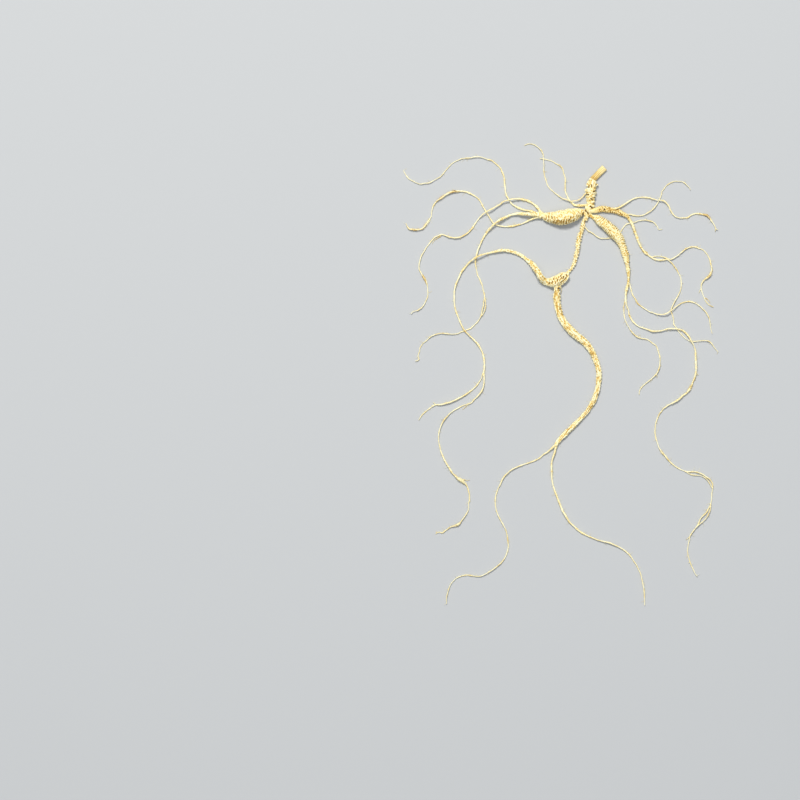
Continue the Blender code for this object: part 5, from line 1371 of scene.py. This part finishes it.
# %% Let fibres stand off where the skin has peeled
FRAY_FIBRES = 7
FRAY_RADIUS = 0.15 * MM
FRAY_LENGTH = 10 * MM
FRAY_START = (-0.7, 0.0)  # in lengths, from the middle of the stretch
FRAY_SHARE = (0.35, 0.75)  # how much of the length one fibre takes up
FRAY_TWIST = (1, 3)  # radians round the rootlet
FRAY_BULGE = (0.05, 0.45)  # mm off the skin
FRAY_POINTS = 16


def fray(name, x, y, key):
    """Loose fibres that wind along a peeled stretch and stand a little off it."""
    rows = laid[name]
    along = length_along(rows)
    middle = along[nearest_row(rows, on_surface(x, y))]
    draw = random.Random(key)
    found = []
    for _ in range(FRAY_FIBRES):
        start = middle + draw.uniform(*FRAY_START) * FRAY_LENGTH
        places = np.linspace(start, start + draw.uniform(*FRAY_SHARE) * FRAY_LENGTH, FRAY_POINTS)
        places = np.clip(places, 0, along[-1])
        x_y_z_r = np.column_stack([np.interp(places, along, column) for column in rows.T])
        ahead = headings(x_y_z_r[:, :2])
        turn = draw.uniform(0, 2 * math.pi) + np.linspace(0, draw.uniform(*FRAY_TWIST), FRAY_POINTS)
        bulge = np.sin(np.linspace(0, math.pi, FRAY_POINTS)) * draw.uniform(*FRAY_BULGE) * MM
        off = x_y_z_r[:, 3] + bulge
        points = x_y_z_r[:, :3].copy()
        points[:, 0] -= off * np.cos(turn) * ahead[:, 1]
        points[:, 1] += off * np.cos(turn) * ahead[:, 0]
        points[:, 2] += off * np.sin(turn)
        found.append(tapered(points, FRAY_RADIUS, share=0.6))
    return found


fray_rows = [row for index, each in enumerate(FRAYS) for row in fray(*each, index)]
pieces.append(strands("frayed_skin", fray_rows, tone=0.42))
print(len(fray_rows), "loose fibres")

# %% [markdown]
# ## The foot of the dry stalk
#
# The leafy stalk dies back each autumn, and its last few millimetres stay on the neck as a flattened straw
# with a square cut end. It could be one more tube, but a straw has a wall and a hollow, which show at the
# cut. So a ring is extruded step by step, drawn in at the cut for the thickness of the wall, and pushed back
# down inside.

# %% Extrude the straw
STALK_WIDTH = 5.3 * MM
STALK_THICKNESS = 2.6 * MM
STALK_TAPER = 0.92
STALK_FOOT = (592.2, 179.9)
STALK_CUT = (604.6, 167.6)
STALK_SIDES = 44
STALK_STEPS = 26
STALK_WALL = 0.74  # width of the hollow, as a share of the straw's
STALK_HOLLOW = 1.4 * MM
HOLLOW_STEPS = 3


def extrude_by(distance, grow=1.0):
    """Extrudes what is selected straight up, and scales it about its own middle."""
    bpy.ops.mesh.extrude_region_move(TRANSFORM_OT_translate={"value": (0, 0, distance)})
    bpy.ops.transform.resize(value=(grow, grow, 1))


def straw(length):
    """An upright straw of width 1 and the given length, closed at its foot, with a well sunk into its cut
    end.
    """
    bpy.ops.mesh.primitive_circle_add(vertices=STALK_SIDES, radius=0.5, fill_type="NGON")
    made = bpy.context.object
    bpy.ops.object.mode_set(mode="EDIT")
    bpy.ops.mesh.select_all(action="SELECT")
    for _ in range(STALK_STEPS):
        extrude_by(length / STALK_STEPS)
    extrude_by(0, grow=STALK_WALL)
    for _ in range(HOLLOW_STEPS):
        extrude_by(-STALK_HOLLOW / HOLLOW_STEPS)
    bpy.ops.mesh.select_all(action="SELECT")
    bpy.ops.mesh.normals_make_consistent(inside=False)
    bpy.ops.object.mode_set(mode="OBJECT")
    return made


foot = np.array(on_surface(*STALK_FOOT))
cut = np.array(on_surface(*STALK_CUT))
stalk_length = np.linalg.norm(cut - foot)
stalk = named(straw(stalk_length), "stalk_foot")
print("the stalk's foot is", round(stalk_length / MM, 1), "mm long")

# %% Flatten it, rib it and lay it in its place
STALK_RIBS = 11
RIB_DEPTH = 0.05
RIB_TWIST = 2
UNEVEN = 0.10
RAGGED = 0.35 * MM
CUT_SHARE = 0.99  # past this share of its length a point belongs to the cut end
# Painted shade in the grooves between the ribs and inside the well of the cut end
GROOVE_SHADE = 0.4
INSIDE_SHADE = 0.72
STALK_TONES = [0.54, 0.30, 0.07]  # at the foot, at a third of the way, and at the cut
points = read_points(stalk)
turn = np.arctan2(points[:, 1], points[:, 0])
share = points[:, 2] / stalk_length
ridges = np.cos(STALK_RIBS * turn + RIB_TWIST * np.sin(3 * share))
rib = 1 + RIB_DEPTH * ridges + UNEVEN * noise_rows(3 * np.cos(turn), 3 * np.sin(turn), 2.2 * share)
width = np.interp(share, [0, 1], [STALK_TAPER, 1]) * rib
torn = noise_rows(5 * np.cos(turn), 5 * np.sin(turn), 0 * turn + 3)
ahead = (cut - foot) / stalk_length
height = laid["rhizome"][0, 2] + STALK_THICKNESS / 4
level = points[:, 0] * width * STALK_WIDTH
forward = points[:, 2] + np.where(share > CUT_SHARE, RAGGED * torn, 0)
placed = np.column_stack([
    foot[0] + ahead[0] * forward - ahead[1] * level,
    foot[1] + ahead[1] * forward + ahead[0] * level,
    height + points[:, 1] * width * STALK_THICKNESS,
])
radial = np.hypot(points[:, 0], points[:, 1])
# Painted shade: the grooves between the ribs and the inside of the cut end are painted darker.
painted_shading = GROOVE_SHADE * np.clip(0.55 - 0.5 * ridges, 0, 1)
painted_shading[radial < 0.5 * STALK_WALL + 0.01] = INSIDE_SHADE
unrolled = np.column_stack([np.cos(turn) * STALK_WIDTH / 2, np.sin(turn) * STALK_WIDTH / 2, forward])
write_skin(stalk, placed, painted_shading, unrolled, np.interp(share, [0, 0.3, 1], STALK_TONES))
pieces.append(stalk)

# %% [markdown]
# ## The finish: dried root skin
#
# Dried ginseng skin is a thin papery cork over starch. It is matt and ochre where it is thinner. Here every
# ridge is painted paler, as a highlight, and the rings and pits are painted brown, as shade. A photograph of
# skin could be wrapped round it, but it would slide and stretch at every fork. So the colour is mixed from
# what each point knows about itself, the painted shading of its relief and the tone of its root, and from
# three noises: soft blotches and a fine grain in space, and streaks that run along each root.

# %% Mix the skin
BLOTCH = 4.0 * MM
STREAK_WIDTH = 0.7 * MM
STREAK_LENGTH = 6.0 * MM
GRAIN = 0.28 * MM
SKIN_ROUGHNESS = 0.68
SKIN_SHINE = 0.35
BUMP_STRENGTH = 0.6
# The painted shading darkens the dents as shade and pales the ridges as a highlight.
SHARES = {"streak": 0.66, "blotch": 0.24, "grain": 0.25, "painted_shading": 1.05}  # of each in the colour


def root_material(name, stops, grain_depth):
    """Matt, streaked plant skin. The stops run from the palest to the darkest colour."""
    material = bpy.data.materials.new(name)
    material.use_nodes = True
    tree = material.node_tree
    shader = tree.nodes["Principled BSDF"]
    shader.inputs["Roughness"].default_value = SKIN_ROUGHNESS
    shader.inputs["Specular IOR Level"].default_value = SKIN_SHINE

    def attribute(name, output):
        return add_node(tree, "Attribute", attribute_name=name).outputs[output]

    def clouds(vector, scale, detail):
        return add_node(tree, "TexNoise", {"Vector": vector, "Scale": scale, "Detail": detail}).outputs["Fac"]

    def worked_out(operation, *values):
        return add_node(tree, "Math", dict(enumerate(values)), operation=operation).outputs["Value"]

    place = add_node(tree, "TexCoord").outputs["Object"]
    stretch = {0: attribute("unrolled", "Vector"), 1: (1 / STREAK_WIDTH, 1 / STREAK_WIDTH, 1 / STREAK_LENGTH)}
    streak_place = add_node(tree, "VectorMath", stretch, operation="MULTIPLY").outputs["Vector"]
    sources = {
        "streak": clouds(streak_place, 1.0, 3.0),
        "blotch": clouds(place, 1 / BLOTCH, 4.0),
        "grain": clouds(place, 1 / GRAIN, 2.0),
        "painted_shading": attribute("painted_shading", "Fac"),
    }
    mixed = attribute("tone", "Fac")
    for name, source in sources.items():
        part = worked_out("SUBTRACT", source, 0.0 if name == "painted_shading" else 0.5)
        mixed = worked_out("MULTIPLY_ADD", part, SHARES[name], mixed)
    colour = add_node(tree, "ValToRGB", {"Fac": mixed}, stops=stops)
    tree.links.new(colour.outputs["Color"], shader.inputs["Base Color"])
    rough = worked_out("MULTIPLY_ADD", sources["streak"], 0.3, sources["grain"])
    bump = add_node(tree, "Bump", {"Height": rough, "Strength": BUMP_STRENGTH, "Distance": grain_depth})
    tree.links.new(bump.outputs["Normal"], shader.inputs["Normal"])
    return material


SKIN_STOPS = [
    (0.00, paint("#fbf8d6")), (1.00, paint("#402a10")), (0.28, paint("#f5e6a8")), (0.52, paint("#dcb963")),
    (0.78, paint("#956e31")),
]
STRAW_STOPS = [
    (0.00, paint("#faf4ca")), (1.00, paint("#6b4a20")), (0.35, paint("#eedc9c")), (0.65, paint("#c8a556")),
]
dried_skin = root_material("dried_root_skin", SKIN_STOPS, 0.10 * MM)
dry_straw = root_material("dry_stalk_straw", STRAW_STOPS, 0.06 * MM)
for piece in pieces:
    piece.data.materials.clear()
    piece.data.materials.append(dry_straw if piece is stalk else dried_skin)
print("two finishes on", len(pieces), "pieces")

# %% [markdown]
# ## The pieces and the solid
#
# Every piece belongs to the one body of the root and stands for the plain solid, which stays behind it for
# its weight and its collisions. Each point of the finer skin is kept inside the box of the solid, so the skin
# is never bigger than the solid.

# %% Tie the pieces to the root and hide the plain solid
for piece in pieces:
    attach(piece, "root")
    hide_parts("ginseng_root")
